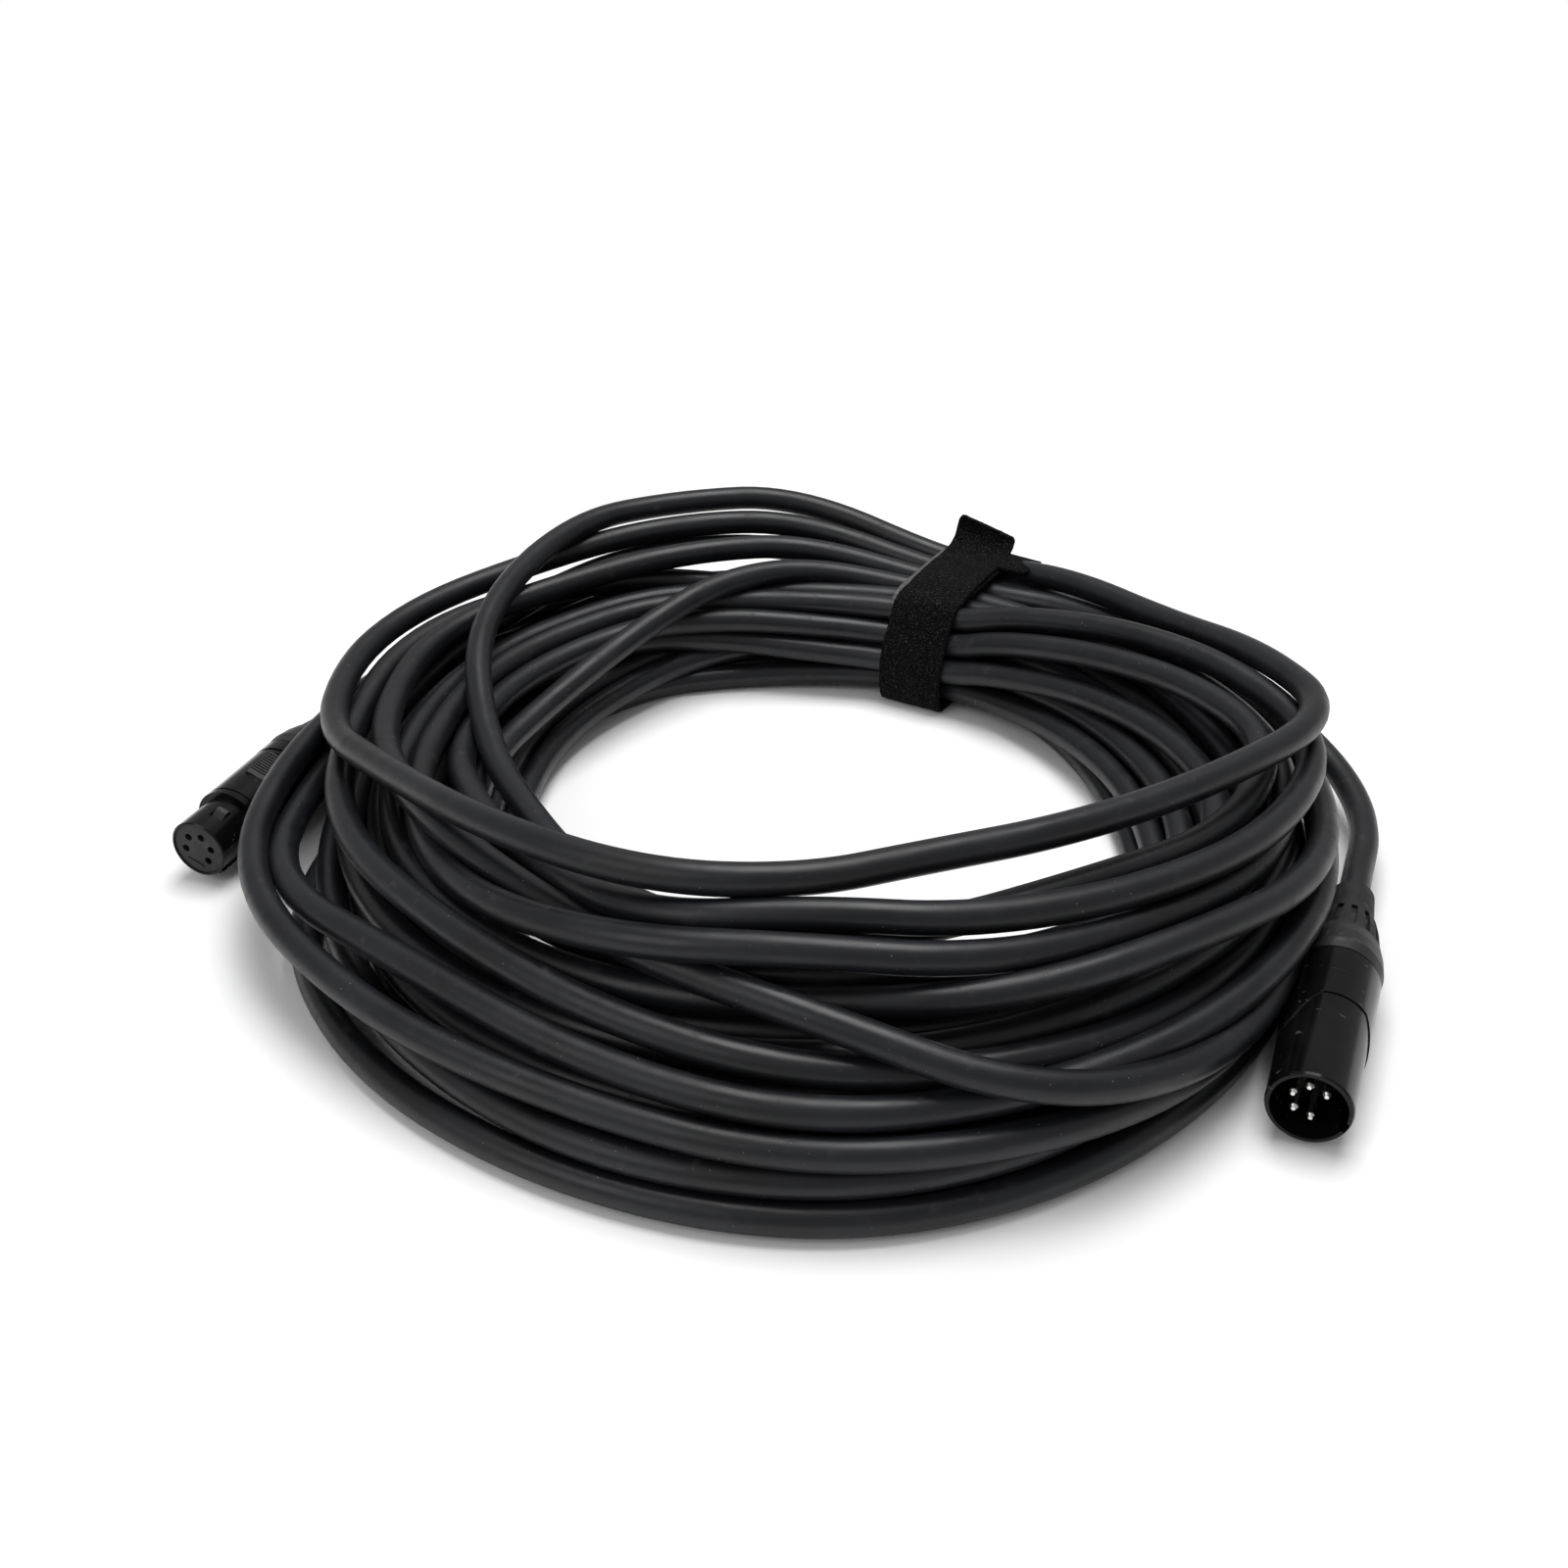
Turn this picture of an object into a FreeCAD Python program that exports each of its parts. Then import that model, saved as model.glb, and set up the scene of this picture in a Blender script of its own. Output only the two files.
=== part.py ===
import FreeCAD, Part
import Sketcher
import math
import os
import re

# A coiled microphone-type cable with a five-pin plug connector at one end, a five-hole socket
# connector at the other, and a hook-and-loop tie round the bundle. Millimetres, +Z up, the floor at
# Z = 0 and the coil's hole round the origin. Each connector is drawn in its own frame, with Z
# running backwards from its mating face and X towards its latch or keyway.

SIZES = [
    # the cable and its coil
    ("cable_diameter", 7.5, "outside diameter of the jacket"),
    ("floor_flat", 0.5, "depth of the flat that the coil rests on"),
    ("coil_lead", 14, "straight cable at each end of the coil"),
    # what both connectors share
    ("floor_gap", 0.05, "floor to the connectors' rings"),
    ("running_gap", 0.05, "radial clearance between fitted pieces"),
    ("face_gap", 0.05, "clearance along the axis between stacked pieces"),
    ("shell_rear_radius", 10.2, "metal shell at its rear end"),
    ("barrel_taper", 0.6, "how much the barrel narrows to its front"),
    ("shell_wall", 1.9, "shell's wall round the thread"),
    ("thread_step", 0.3, "thread bore over the bore of the insert and chuck"),
    ("thread_length", 6.5, "length of the threaded bore"),
    ("cavity_radius", 8.2, "bore that the mating nose enters"),
    ("cavity_depth", 15.5, "depth of that bore"),
    ("mating_gap", 0.2, "clearance of the nose in that bore"),
    ("insert_length", 8.5, "insert behind the cavity"),
    ("pin_circle_radius", 4, "circle that the five contacts stand on"),
    ("cup_radius", 1.2, "solder cup"),
    ("cup_bore_radius", 0.75, "bore of the solder cup"),
    ("cup_length", 4.5, "length of the solder cup"),
    ("cup_depth", 3.5, "depth of its bore"),
    ("chuck_wall", 1.2, "shell bore to the bore of the chuck's front tube"),
    ("collet_step", 0.85, "shell bore to the outside of the collet fingers"),
    ("collet_taper", 0.85, "how much the fingers narrow at their tips"),
    ("collet_taper_length", 6.5, "tapered length of the fingers"),
    ("collet_slot_width", 1.2, "slot between two fingers"),
    ("collet_length", 16, "length of the collet behind its front tube"),
    ("collet_setback", 3, "collet's shoulder to the front of the thread"),
    ("ring_proud", 0.25, "bushing's widest ring over the shell"),
    ("ring_fall", 1.3, "how much the bushing narrows to its rear"),
    ("ring_length", 11.7, "length of the bushing outside the shell"),
    ("boot_wall", 1.55, "boot's wall round its carrier"),
    ("carrier_wall", 1.6, "wall of the tube that carries the boot"),
    ("carrier_length", 7, "length of that tube"),
    ("boot_length", 25, "length of the soft boot"),
    ("flute_start", 1.2, "boot front to its flutes"),
    ("flute_end", 11.2, "boot front to the end of its flutes"),
    ("flute_depth", 0.9, "depth of a flute"),
    ("flute_width", 1.5, "width of a flute"),
    ("shoulder_fall", 2.05, "how much the boot narrows along its flutes"),
    ("boot_gap", 0.3, "clearance of the boot round the cable"),
    ("collar_wall", 1.05, "wall of the boot's end collar at its rear"),
    ("collar_flare", 1.2, "how much the collar widens to its front"),
    ("cable_end_tail", 9, "straight cable behind each boot"),
    ("wire_radius", 0.6, "insulated conductor"),
    ("wire_circle_radius", 1.9, "circle of the conductors in the cable"),
    # the plug connector with pins
    ("plug_length", 47, "mating face to the rear of the metal shell"),
    ("lip_step", 0.6, "height of the lip that the insert stops against"),
    ("lip_length", 1, "length of that lip"),
    ("relief_depth", 0.3, "step of the sculpted collar"),
    ("relief_length", 29, "mating face to the collar's side"),
    ("tongue_tip", 20, "mating face to the tip of the collar's tongue"),
    ("tongue_half_width", 9, "half width of the tongue at its root"),
    ("tongue_tip_half_width", 1.3, "half width of its blunt tip"),
    ("tongue_bend_half_width", 3.4, "half width where the tip's corner ends"),
    ("tongue_bend", 21.4, "mating face to where the tip's corner ends"),
    ("keyway_width", 2.4, "keyway along the cavity"),
    ("keyway_depth", 0.7, "depth of the keyway"),
    ("keyway_length", 12, "length of the keyway"),
    ("catch_width", 4.6, "recess that the latch hooks into"),
    ("catch_front", 4.6, "mating face to that recess"),
    ("catch_length", 3, "length of that recess"),
    ("pin_radius", 0.95, "contact pin"),
    ("pin_tip_radius", 0.45, "flat on the pin's tip"),
    ("pin_tip_depth", 1.8, "mating face to the pin tips"),
    ("ground_setback", 3.5, "cavity to the ground ring's groove"),
    ("ground_width", 1.4, "width of that groove"),
    ("ground_depth", 0.7, "depth of that groove"),
    # the socket connector with holes
    ("socket_length", 42.5, "mating face to the rear of the metal shell"),
    ("nose_setback", 2, "how much shorter the nose is than the cavity"),
    ("nose_wall", 0.8, "wall of the nose"),
    ("collar_length", 1.8, "stop ring behind the nose"),
    ("collar_groove_length", 0.7, "groove behind the stop ring"),
    ("collar_groove_depth", 0.3, "depth of that groove"),
    ("band_web", 1.25, "push tab's window to the groove behind it"),
    ("band_groove_length", 0.8, "width of that groove"),
    ("key_rib_width", 1.6, "key rib along the nose"),
    ("key_rib_height", 0.5, "height of the key rib"),
    ("insert_recess", 0.3, "nose rim to the insert's face"),
    ("socket_radius", 1.35, "contact tube"),
    ("socket_bore_radius", 1, "bore of the contact tube"),
    ("socket_mouth_radius", 1.05, "hole in the insert's face"),
    ("socket_depth", 1.4, "insert's face to the contact tubes"),
    ("ridge_height", 0.25, "ridge across the insert's face"),
    ("ridge_width", 0.8, "width of that ridge"),
    ("ridge_length", 5, "length of that ridge"),
    ("ridge_offset", 4.4, "insert centre to the ridge"),
    ("latch_arm_width", 3, "width of the latch arm"),
    ("latch_arm_gap", 0.25, "nose bore to the top of the latch arm"),
    ("latch_arm_thickness", 0.8, "thickness of the latch arm"),
    ("latch_travel", 0.7, "room under the latch arm"),
    ("latch_front", 6, "mating face to the latch's tip"),
    ("hook_proud", 0.5, "latch's hook over the nose"),
    ("hook_length", 3.2, "length of the hook"),
    ("tab_setback", 0.2, "insert to the push tab"),
    ("tab_end_gap", 0.6, "push tab to the front of the thread"),
    ("pivot_margin", 0.8, "rear end of the push tab to its pivot"),
    ("tab_width", 8, "width of the push tab"),
    ("tab_sink", 0.1, "push tab under the shell's widest radius"),
    ("tab_thickness", 2.2, "thickness of the push tab"),
    ("tab_gap", 0.35, "gap round the push tab"),
    ("rib_margin", 1.35, "end of the tab to its first grip groove"),
    ("rib_depth", 0.35, "depth of a grip groove"),
    ("rib_width", 0.5, "width of a grip groove"),
    ("spring_thickness", 0.2, "leaf under the latch arm"),
    ("spring_length", 10, "length of that leaf"),
    # the hook-and-loop tie
    ("tie_width", 20, "width of the tie"),
    ("tie_thickness", 1.9, "thickness of the tie's band"),
    ("tie_under_gap", 0.35, "gap between the band and the bundle's underside"),
    ("tie_gap", 1.2, "gap between the band and the bundle's sides and top"),
    ("tie_corner_radius", 5, "inside corners of the band"),
    ("hook_tab_thickness", 1.2, "thickness of the hooked end"),
    ("hook_tab_overlap", 24, "length of the hooked end on the band"),
    ("hook_tab_rise", 9, "height that its free end stands up"),
]

# Sizes that follow from the ones above, so that what fits together stays together.
DERIVED_SIZES = [
    ("shell_front_radius", "shell_rear_radius - barrel_taper", "metal shell where the barrel begins"),
    ("thread_bore_radius", "shell_rear_radius - shell_wall", "shell bore that takes the bushing"),
    ("rear_bore_radius", "thread_bore_radius - thread_step", "shell bore round insert and chuck"),
    ("insert_rear", "cavity_depth + insert_length", "mating face to the rear of the insert"),
    ("chuck_room_radius", "rear_bore_radius - chuck_wall", "bore of the chuck's front tube"),
    ("collet_radius", "rear_bore_radius - collet_step", "outside of the collet fingers"),
    ("collet_tip_radius", "collet_radius - collet_taper", "collet fingers at their rear tips"),
    ("ring_radius", "shell_rear_radius + ring_proud", "widest ring of the bushing"),
    ("axis_height", "ring_radius + floor_gap", "connector axis above the floor"),
    ("ring_rear_radius", "ring_radius - ring_fall", "bushing where the boot begins"),
    ("carrier_radius", "ring_rear_radius - boot_wall", "tube that carries the boot"),
    ("carrier_bore_radius", "carrier_radius - carrier_wall", "bore of that tube"),
    ("boot_shoulder_radius", "ring_rear_radius - shoulder_fall", "boot at the end of its flutes"),
    ("boot_bore_radius", "0.5 * cable_diameter + boot_gap", "bore of the boot round the cable"),
    ("collar_rear_radius", "boot_bore_radius + collar_wall", "rear of the boot's end collar"),
    ("collar_front_radius", "collar_rear_radius + collar_flare", "front of the boot's end collar"),
    ("lip_radius", "cavity_radius - lip_step", "lip that the insert stops against"),
    ("keyway_radius", "cavity_radius + keyway_depth", "floor of the keyway"),
    ("ground_groove", "cavity_depth + ground_setback", "mating face to the ring's groove"),
    ("ground_floor_radius", "rear_bore_radius - ground_depth", "floor of the ring's groove"),
    ("nose_radius", "cavity_radius - mating_gap", "nose that enters the plug"),
    ("nose_length", "cavity_depth - nose_setback", "length of the nose"),
    ("nose_bore_radius", "nose_radius - nose_wall", "bore of the nose"),
    ("latch_arm_radius", "nose_bore_radius - latch_arm_gap", "top of the latch arm"),
    ("latch_channel_radius", "latch_arm_radius - latch_arm_thickness - latch_travel",
     "floor of the latch's channel"),
    ("hook_radius", "nose_radius + hook_proud", "top of the latch's hook"),
    ("tab_front", "insert_rear + tab_setback", "mating face to the push tab"),
    ("tab_length", "socket_length - thread_length - tab_end_gap - tab_front",
     "length of the push tab"),
    ("tab_radius", "shell_rear_radius - tab_sink", "top of the push tab"),
    ("tab_underside_radius", "tab_radius - tab_thickness", "underside of the push tab"),
    ("pivot_radius", "tab_underside_radius - collet_radius - running_gap",
     "bead that the latch rocks on"),
    ("band_groove_front", "tab_front + tab_length + tab_gap + band_web",
     "mating face to the groove behind the tab"),
]

LOOPS_IN_LAYER = 6
LAYERS = 4
QUARTERS = 4
CONTACTS = 5
FLUTES = 14
COLLET_SLOTS = 4
GRIP_GROOVES = 9

# Where the coil is held or spreads: centre of the pile, heading of the cable in degrees, step from
# loop to loop across and up, step from layer to layer up and outward, and lift off the floor.
STATIONS = [
    {"at": (60, 95), "heading": -30, "across": 8.1, "up": 0, "rise": 7.8, "lean": 0, "lift": 2.8},
    {"at": (106, -21), "heading": -90, "across": 9, "up": 0, "rise": 11.5, "lean": 2.5, "lift": 0},
    {"at": (11, -127.5), "heading": 180, "across": 7.2, "up": 4.2, "rise": 9.9, "lean": 0, "lift": 0},
    {"at": (-82.6, 4), "heading": 90, "across": 11, "up": 0, "rise": 8.9, "lean": 1.6, "lift": 0},
]
MIDDLE_LOOP = 2.75
STATION_SPACING = 175.0
LEAST_COIL_GAP = 0.4

# Each connector's mating face, the direction its cable leaves in, and its roll, in degrees.
PLUG = {"face": (117.6, -123.9), "rear_heading": 68, "roll": 110, "contact_turn": 60}
SOCKET = {"face": (-145.8, -24.3), "rear_heading": 69.5, "roll": 22, "contact_turn": -120}
KEY_RIB_TURN = 120

# The free cable between each boot and the coil, from the boot's side to the coil's.
SOCKET_TAIL = [(-84, 113, 6.5), (-49, 135, 4.5), (-10, 145.5, 5)]
PLUG_TAIL = [(165.5, 14, 13), (158, 48, 20), (138, 78, 26)]

document = FreeCAD.newDocument("cable_coil")
sheet = document.addObject("Spreadsheet::Sheet", "Sizes")
for line, (alias, number, meaning) in enumerate(SIZES + DERIVED_SIZES, start=1):
    sheet.set(f"A{line}", meaning)
    sheet.set(f"B{line}", f"={number}" if isinstance(number, str) else str(number))
    sheet.setAlias(f"B{line}", alias)
document.recompute()
ALIASES = {alias for alias, _, _ in SIZES + DERIVED_SIZES}
pieces = []


def size(alias):
    """The sheet's value for one alias."""
    return float(sheet.get(alias))


def value(text):
    """The number that a sum such as 'plug_length - 2*lip_length' stands for."""
    total = 0.0
    for sign, term in re.findall(r"([+-]?)\s*([^+\-\s]+)", str(text)):
        product = 1.0
        for factor in term.split("*"):
            product *= size(factor) if factor in ALIASES else float(factor)
        total += -product if sign == "-" else product
    return total


def bound(text):
    """The same sum written as an expression on the sheet."""
    return re.sub(r"[a-z_]+", lambda word: f"Sizes.{word.group(0)}", str(text))


def origin_feature(body, role):
    """A plane or an axis of the body's own origin."""
    return next(item for item in body.Origin.OriginFeatures if item.Role == role)


def new_body(label):
    """A body that may hold several solids."""
    body = document.addObject("PartDesign::Body", f"{label}_body")
    body.Label = label
    body.AllowCompound = True
    return body


def attached_sketch(body, plane):
    """An empty sketch on one of the body's origin planes."""
    sketch = body.newObject("Sketcher::SketchObject", f"{body.Label}_sketch")
    sketch.AttachmentSupport = (origin_feature(body, plane), [""])
    sketch.MapMode = "FlatFace"
    return sketch


def pin_down(sketch, line, place):
    """Bind the start of a line to a pair of sums."""
    for axis, text in zip(("X", "Y"), place):
        if value(text) == 0:
            sketch.addConstraint(Sketcher.Constraint("PointOnObject", line, 1, -2 if axis == "X" else -1))
            continue
        number = sketch.addConstraint(Sketcher.Constraint(f"Distance{axis}", -1, 1, line, 1, value(text)))
        sketch.setExpression(f"Constraints[{number}]", bound(text))


def draw_outline(sketch, places):
    """A closed outline of straight lines through places, each a pair of sums."""
    corners = [FreeCAD.Vector(value(x), value(y), 0) for x, y in places]
    first = sketch.GeometryCount
    for start, end in zip(corners, corners[1:] + corners[:1]):
        sketch.addGeometry(Part.LineSegment(start, end), False)
    for step in range(len(corners)):
        following = first + (step + 1) % len(corners)
        sketch.addConstraint(Sketcher.Constraint("Coincident", first + step, 2, following, 1))
    for step, place in enumerate(places):
        pin_down(sketch, first + step, place)
    return sketch


def box_outline(low_x, low_y, high_x, high_y):
    """The four corners of a rectangle."""
    return [(low_x, low_y), (high_x, low_y), (high_x, high_y), (low_x, high_y)]


def revolved(body, places, angle=360, kind="PartDesign::Revolution"):
    """Turn an outline of (radius, depth) pairs about the body's Z axis."""
    sketch = draw_outline(attached_sketch(body, "XZ_Plane"), places)
    feature = body.newObject(kind, f"{body.Label}_turned")
    feature.Profile = sketch
    feature.ReferenceAxis = (sketch, ["V_Axis"])
    feature.Angle = angle
    return feature


def turned_pin(body, places, kind="PartDesign::Revolution"):
    """Turn an outline about its own first edge, for pieces that stand off the axis."""
    sketch = draw_outline(attached_sketch(body, "XZ_Plane"), places)
    feature = body.newObject(kind, f"{body.Label}_pin")
    feature.Profile = sketch
    feature.ReferenceAxis = (sketch, ["Edge1"])
    feature.Angle = 360
    return feature


def padded(body, plane, places, length):
    """A pad that reaches equally far to both sides of its plane."""
    sketch = draw_outline(attached_sketch(body, plane), places)
    feature = body.newObject("PartDesign::Pad", f"{body.Label}_pad")
    feature.Profile = sketch
    feature.Midplane = True
    feature.setExpression("Length", bound(length))
    return feature


def pocketed(body, plane, places, length, midplane=True, reverse=False):
    """A pocket from an origin plane. Its volume is compared so that none cuts nothing."""
    document.recompute()
    before = body.Shape.Volume
    sketch = draw_outline(attached_sketch(body, plane), places)
    feature = body.newObject("PartDesign::Pocket", f"{body.Label}_pocket")
    feature.Profile = sketch
    feature.Midplane = midplane
    feature.Reversed = reverse
    feature.setExpression("Length", bound(length))
    document.recompute()
    if body.Shape.Volume > before - 1e-3:
        raise RuntimeError(f"{feature.Name} cuts nothing")
    return feature


def ringed(body, features, count, angle):
    """Repeat features round the body's Z axis."""
    pattern = body.newObject("PartDesign::PolarPattern", f"{body.Label}_ring")
    pattern.Originals = features
    pattern.Axis = (origin_feature(body, "Z_Axis"), [""])
    pattern.Angle = angle
    pattern.Occurrences = count
    body.Tip = pattern
    return pattern


def connector_placement(connector, turn=0.0):
    """Where a connector's own frame lies: Z back along its axis, X towards its latch or keyway."""
    heading = math.radians(connector["rear_heading"])
    roll = math.radians(connector["roll"])
    rear = FreeCAD.Vector(math.cos(heading), math.sin(heading), 0)
    up = FreeCAD.Vector(0, 0, 1)
    side = rear.cross(up)
    across = up * math.cos(roll) + side * math.sin(roll)
    rotation = FreeCAD.Rotation(across, rear.cross(across), rear, "ZXY")
    rotation = rotation.multiply(FreeCAD.Rotation(FreeCAD.Vector(0, 0, 1), turn))
    face_x, face_y = connector["face"]
    return FreeCAD.Placement(FreeCAD.Vector(face_x, face_y, size("axis_height")), rotation)


def finish(piece, placement=None, label=None):
    """Put a piece in place and list it for export."""
    if label:
        piece.Label = label
    if placement:
        piece.Placement = placement
    pieces.append(piece)
    return piece


def contact_frame(connector):
    """The connector's frame turned so that the first contact stands on X."""
    return connector_placement(connector, connector["contact_turn"])


def add_plug_shell():
    """The plug's metal shell, with its cavity, keyway, catch and sculpted collar."""
    body = new_body("plug_shell_blank")
    lip_rear = "cavity_depth + lip_length"
    thread_front = "plug_length - thread_length"
    revolved(body, [
        ("cavity_radius", "0"),
        ("shell_front_radius - relief_depth - 0.3", "0"),
        ("shell_front_radius", "0.6"),
        ("shell_rear_radius", "plug_length - 0.5"),
        ("shell_rear_radius - 0.3", "plug_length"),
        ("thread_bore_radius", "plug_length"),
        ("thread_bore_radius", thread_front),
        ("rear_bore_radius", thread_front),
        ("rear_bore_radius", lip_rear),
        ("lip_radius", lip_rear),
        ("lip_radius", "cavity_depth"),
        ("cavity_radius", "cavity_depth"),
    ])
    pocketed(body, "XZ_Plane", box_outline("lip_radius - 1", "0", "keyway_radius", "keyway_length"),
             "keyway_width")
    pocketed(body, "XZ_Plane",
             box_outline("lip_radius", "catch_front", "keyway_radius", "catch_front + catch_length"),
             "catch_width")
    relief = new_body("plug_relief_ring")
    slope_end = "shell_rear_radius - relief_depth - 0.2"
    revolved(relief, [
        ("shell_front_radius - relief_depth", "0.6"),
        (slope_end, "relief_length"),
        ("shell_rear_radius + 2", "relief_length"),
        ("shell_rear_radius + 2", "0"),
        ("shell_front_radius - relief_depth - 0.3", "0"),
    ])
    tongue = new_body("plug_collar_tongue")
    tongue_sketch = attached_sketch(tongue, "YZ_Plane")
    draw_outline(tongue_sketch, [
        ("-tongue_half_width", "relief_length + 1"),
        ("-tongue_bend_half_width", "tongue_bend"),
        ("-tongue_tip_half_width", "tongue_tip"),
        ("tongue_tip_half_width", "tongue_tip"),
        ("tongue_bend_half_width", "tongue_bend"),
        ("tongue_half_width", "relief_length + 1"),
    ])
    tongue_pad = tongue.newObject("PartDesign::Pad", "plug_tongue_pad")
    tongue_pad.Profile = tongue_sketch
    tongue_pad.Midplane = True
    tongue_pad.setExpression("Length", "4 * Sizes.shell_rear_radius")
    step = document.addObject("Part::Cut", "plug_relief")
    step.Base = relief
    step.Tool = tongue
    shell = document.addObject("Part::Cut", "plug_shell_cut")
    shell.Base = body
    shell.Tool = step
    finish(shell, connector_placement(PLUG), "plug_shell")


def contact_column(radius, front, rear):
    """The outline of a round column on the contact circle, its first edge on the column's axis."""
    edge = f"pin_circle_radius + {radius}"
    return [("pin_circle_radius", front), ("pin_circle_radius", rear), (edge, rear), (edge, front)]


def add_plug_insert():
    """The moulded disc that holds the pins, with the groove of its ground ring."""
    body = new_body("plug_insert")
    lip_rear = "cavity_depth + lip_length + face_gap"
    groove_rear = "ground_groove + ground_width"
    revolved(body, [
        ("0", "cavity_depth - 0.2"),
        ("lip_radius - running_gap", "cavity_depth - 0.2"),
        ("lip_radius - running_gap", lip_rear),
        ("rear_bore_radius - running_gap", lip_rear),
        ("rear_bore_radius - running_gap", "ground_groove"),
        ("ground_floor_radius", "ground_groove"),
        ("ground_floor_radius", groove_rear),
        ("rear_bore_radius - running_gap", groove_rear),
        ("rear_bore_radius - running_gap", "insert_rear"),
        ("0", "insert_rear"),
    ])
    hole = turned_pin(body, contact_column("pin_radius + running_gap", "cavity_depth - 1",
                                           "insert_rear + 1"), "PartDesign::Groove")
    ringed(body, [hole], CONTACTS, 240)
    finish(body, contact_frame(PLUG))


def add_plug_pins():
    """Five round pins in one group, each with a solder cup behind the insert."""
    body = new_body("plug_pins")
    edge = "pin_circle_radius + pin_radius"
    cup_rear = "insert_rear + cup_length"
    pin = turned_pin(body, [
        ("pin_circle_radius", "pin_tip_depth"),
        ("pin_circle_radius", cup_rear),
        ("pin_circle_radius + cup_radius", cup_rear),
        ("pin_circle_radius + cup_radius", "insert_rear + face_gap"),
        (edge, "insert_rear + face_gap"),
        (edge, "pin_tip_depth + 0.6"),
        ("pin_circle_radius + pin_tip_radius", "pin_tip_depth"),
    ])
    cup = turned_pin(body, contact_column("cup_bore_radius", f"{cup_rear} - cup_depth", f"{cup_rear} + 1"),
                     "PartDesign::Groove")
    ringed(body, [pin, cup], CONTACTS, 240)
    finish(body, contact_frame(PLUG))


def add_plug_ground_ring():
    """The split spring ring that grounds the shell, in the insert's groove."""
    body = new_body("plug_ground_ring")
    revolved(body, box_outline("ground_floor_radius + running_gap", "ground_groove + face_gap",
                               "rear_bore_radius - running_gap",
                               "ground_groove + ground_width - face_gap"), angle=310)
    finish(body, connector_placement(PLUG))


def add_chuck(connector, label, shell_length, latch_slot=False):
    """The slotted collet that grips the cable, with a front tube that pushes the insert home."""
    body = new_body(label)
    front = "insert_rear + face_gap"
    shoulder = f"{shell_length} - thread_length - collet_setback"
    taper = f"{shoulder} + collet_length - collet_taper_length"
    rear = f"{shoulder} + collet_length"
    grip = "0.5*cable_diameter + running_gap"
    revolved(body, [
        ("chuck_room_radius", front),
        ("rear_bore_radius - running_gap", front),
        ("rear_bore_radius - running_gap", shoulder),
        ("collet_radius", shoulder),
        ("collet_radius", taper),
        ("collet_tip_radius", rear),
        (grip + " + 0.3", rear),
        (grip, f"{rear} - 1"),
        (grip, shoulder),
        ("chuck_room_radius", f"{shoulder} - 1"),
    ])
    document.recompute()
    slot = pocketed(body, "XZ_Plane", box_outline("1", f"{shoulder} + 4", "collet_radius + 1",
                                                  f"{rear} + 1"), "collet_slot_width")
    ringed(body, [slot], COLLET_SLOTS, 360)
    if latch_slot:
        pocketed(body, "XZ_Plane", box_outline("2", "insert_rear - 1", "rear_bore_radius + 1",
                                               f"{shoulder} + 0.5"), "tab_width + 4*tab_gap")
    finish(body, connector_placement(connector))


def add_bushing(connector, label, shell_length):
    """The threaded ring that closes the shell and squeezes the collet."""
    body = new_body(label)
    front = f"{shell_length} - thread_length + 0.3"
    taper = f"{shell_length} - thread_length - collet_setback + collet_length - collet_taper_length"
    ring_rear = f"{shell_length} + ring_length"
    cone = "collet_tip_radius + 2*running_gap"
    revolved(body, [
        ("collet_radius + 2*running_gap", front),
        ("thread_bore_radius - running_gap", front),
        ("thread_bore_radius - running_gap", f"{shell_length} + face_gap"),
        ("shell_rear_radius - 0.1", f"{shell_length} + face_gap"),
        ("ring_radius", f"{shell_length} + 3.5"),
        ("ring_radius - 0.5", f"{shell_length} + 8"),
        ("ring_rear_radius", ring_rear),
        ("carrier_radius", ring_rear),
        ("carrier_radius", f"{ring_rear} + carrier_length"),
        ("carrier_bore_radius", f"{ring_rear} + carrier_length"),
        (cone, f"{taper} + collet_taper_length + 0.5"),
        ("collet_radius + 2*running_gap", f"{taper} + 0.5"),
    ])
    finish(body, connector_placement(connector))


def add_boot(connector, label, shell_length):
    """The soft boot: a fluted bell that ends in a plain collar round the cable."""
    body = new_body(label)
    front = f"{shell_length} + ring_length + face_gap"
    flute_front = f"{front} + flute_start"
    flute_rear = f"{front} + flute_end"
    rear = f"{front} + boot_length"
    revolved(body, [
        ("carrier_radius + running_gap", front),
        ("ring_rear_radius - 0.1", front),
        ("ring_rear_radius - 0.4", flute_front),
        ("boot_shoulder_radius + 0.9", f"{front} + 7"),
        ("boot_shoulder_radius", flute_rear),
        ("collar_front_radius", f"{flute_rear} + 0.6"),
        ("collar_rear_radius + 0.2", f"{rear} - 0.5"),
        ("collar_rear_radius - 0.3", rear),
        ("boot_bore_radius", rear),
        ("boot_bore_radius", f"{front} + carrier_length + 1.5"),
        ("carrier_radius + running_gap", f"{front} + carrier_length + 0.3"),
    ])
    flute = pocketed(body, "XZ_Plane", [
        ("ring_rear_radius - 0.4 - flute_depth", flute_front),
        ("ring_radius", flute_front),
        ("ring_radius", flute_rear),
        ("boot_shoulder_radius - flute_depth", flute_rear),
        ("boot_shoulder_radius + 0.9 - flute_depth", f"{front} + 7"),
    ], "flute_width")
    ringed(body, [flute], FLUTES, 360)
    finish(body, connector_placement(connector))


def add_cable_end(connector, label, shell_length):
    """The straight end of the cable inside the collet, the bushing and the boot."""
    body = new_body(label)
    front = f"{shell_length} - thread_length - collet_setback + face_gap"
    rear = f"{shell_length} + ring_length + face_gap + boot_length + cable_end_tail"
    revolved(body, [("0", front), ("0.5*cable_diameter", front), ("0.5*cable_diameter", rear),
                    ("0", rear)])
    finish(body, connector_placement(connector))


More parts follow.
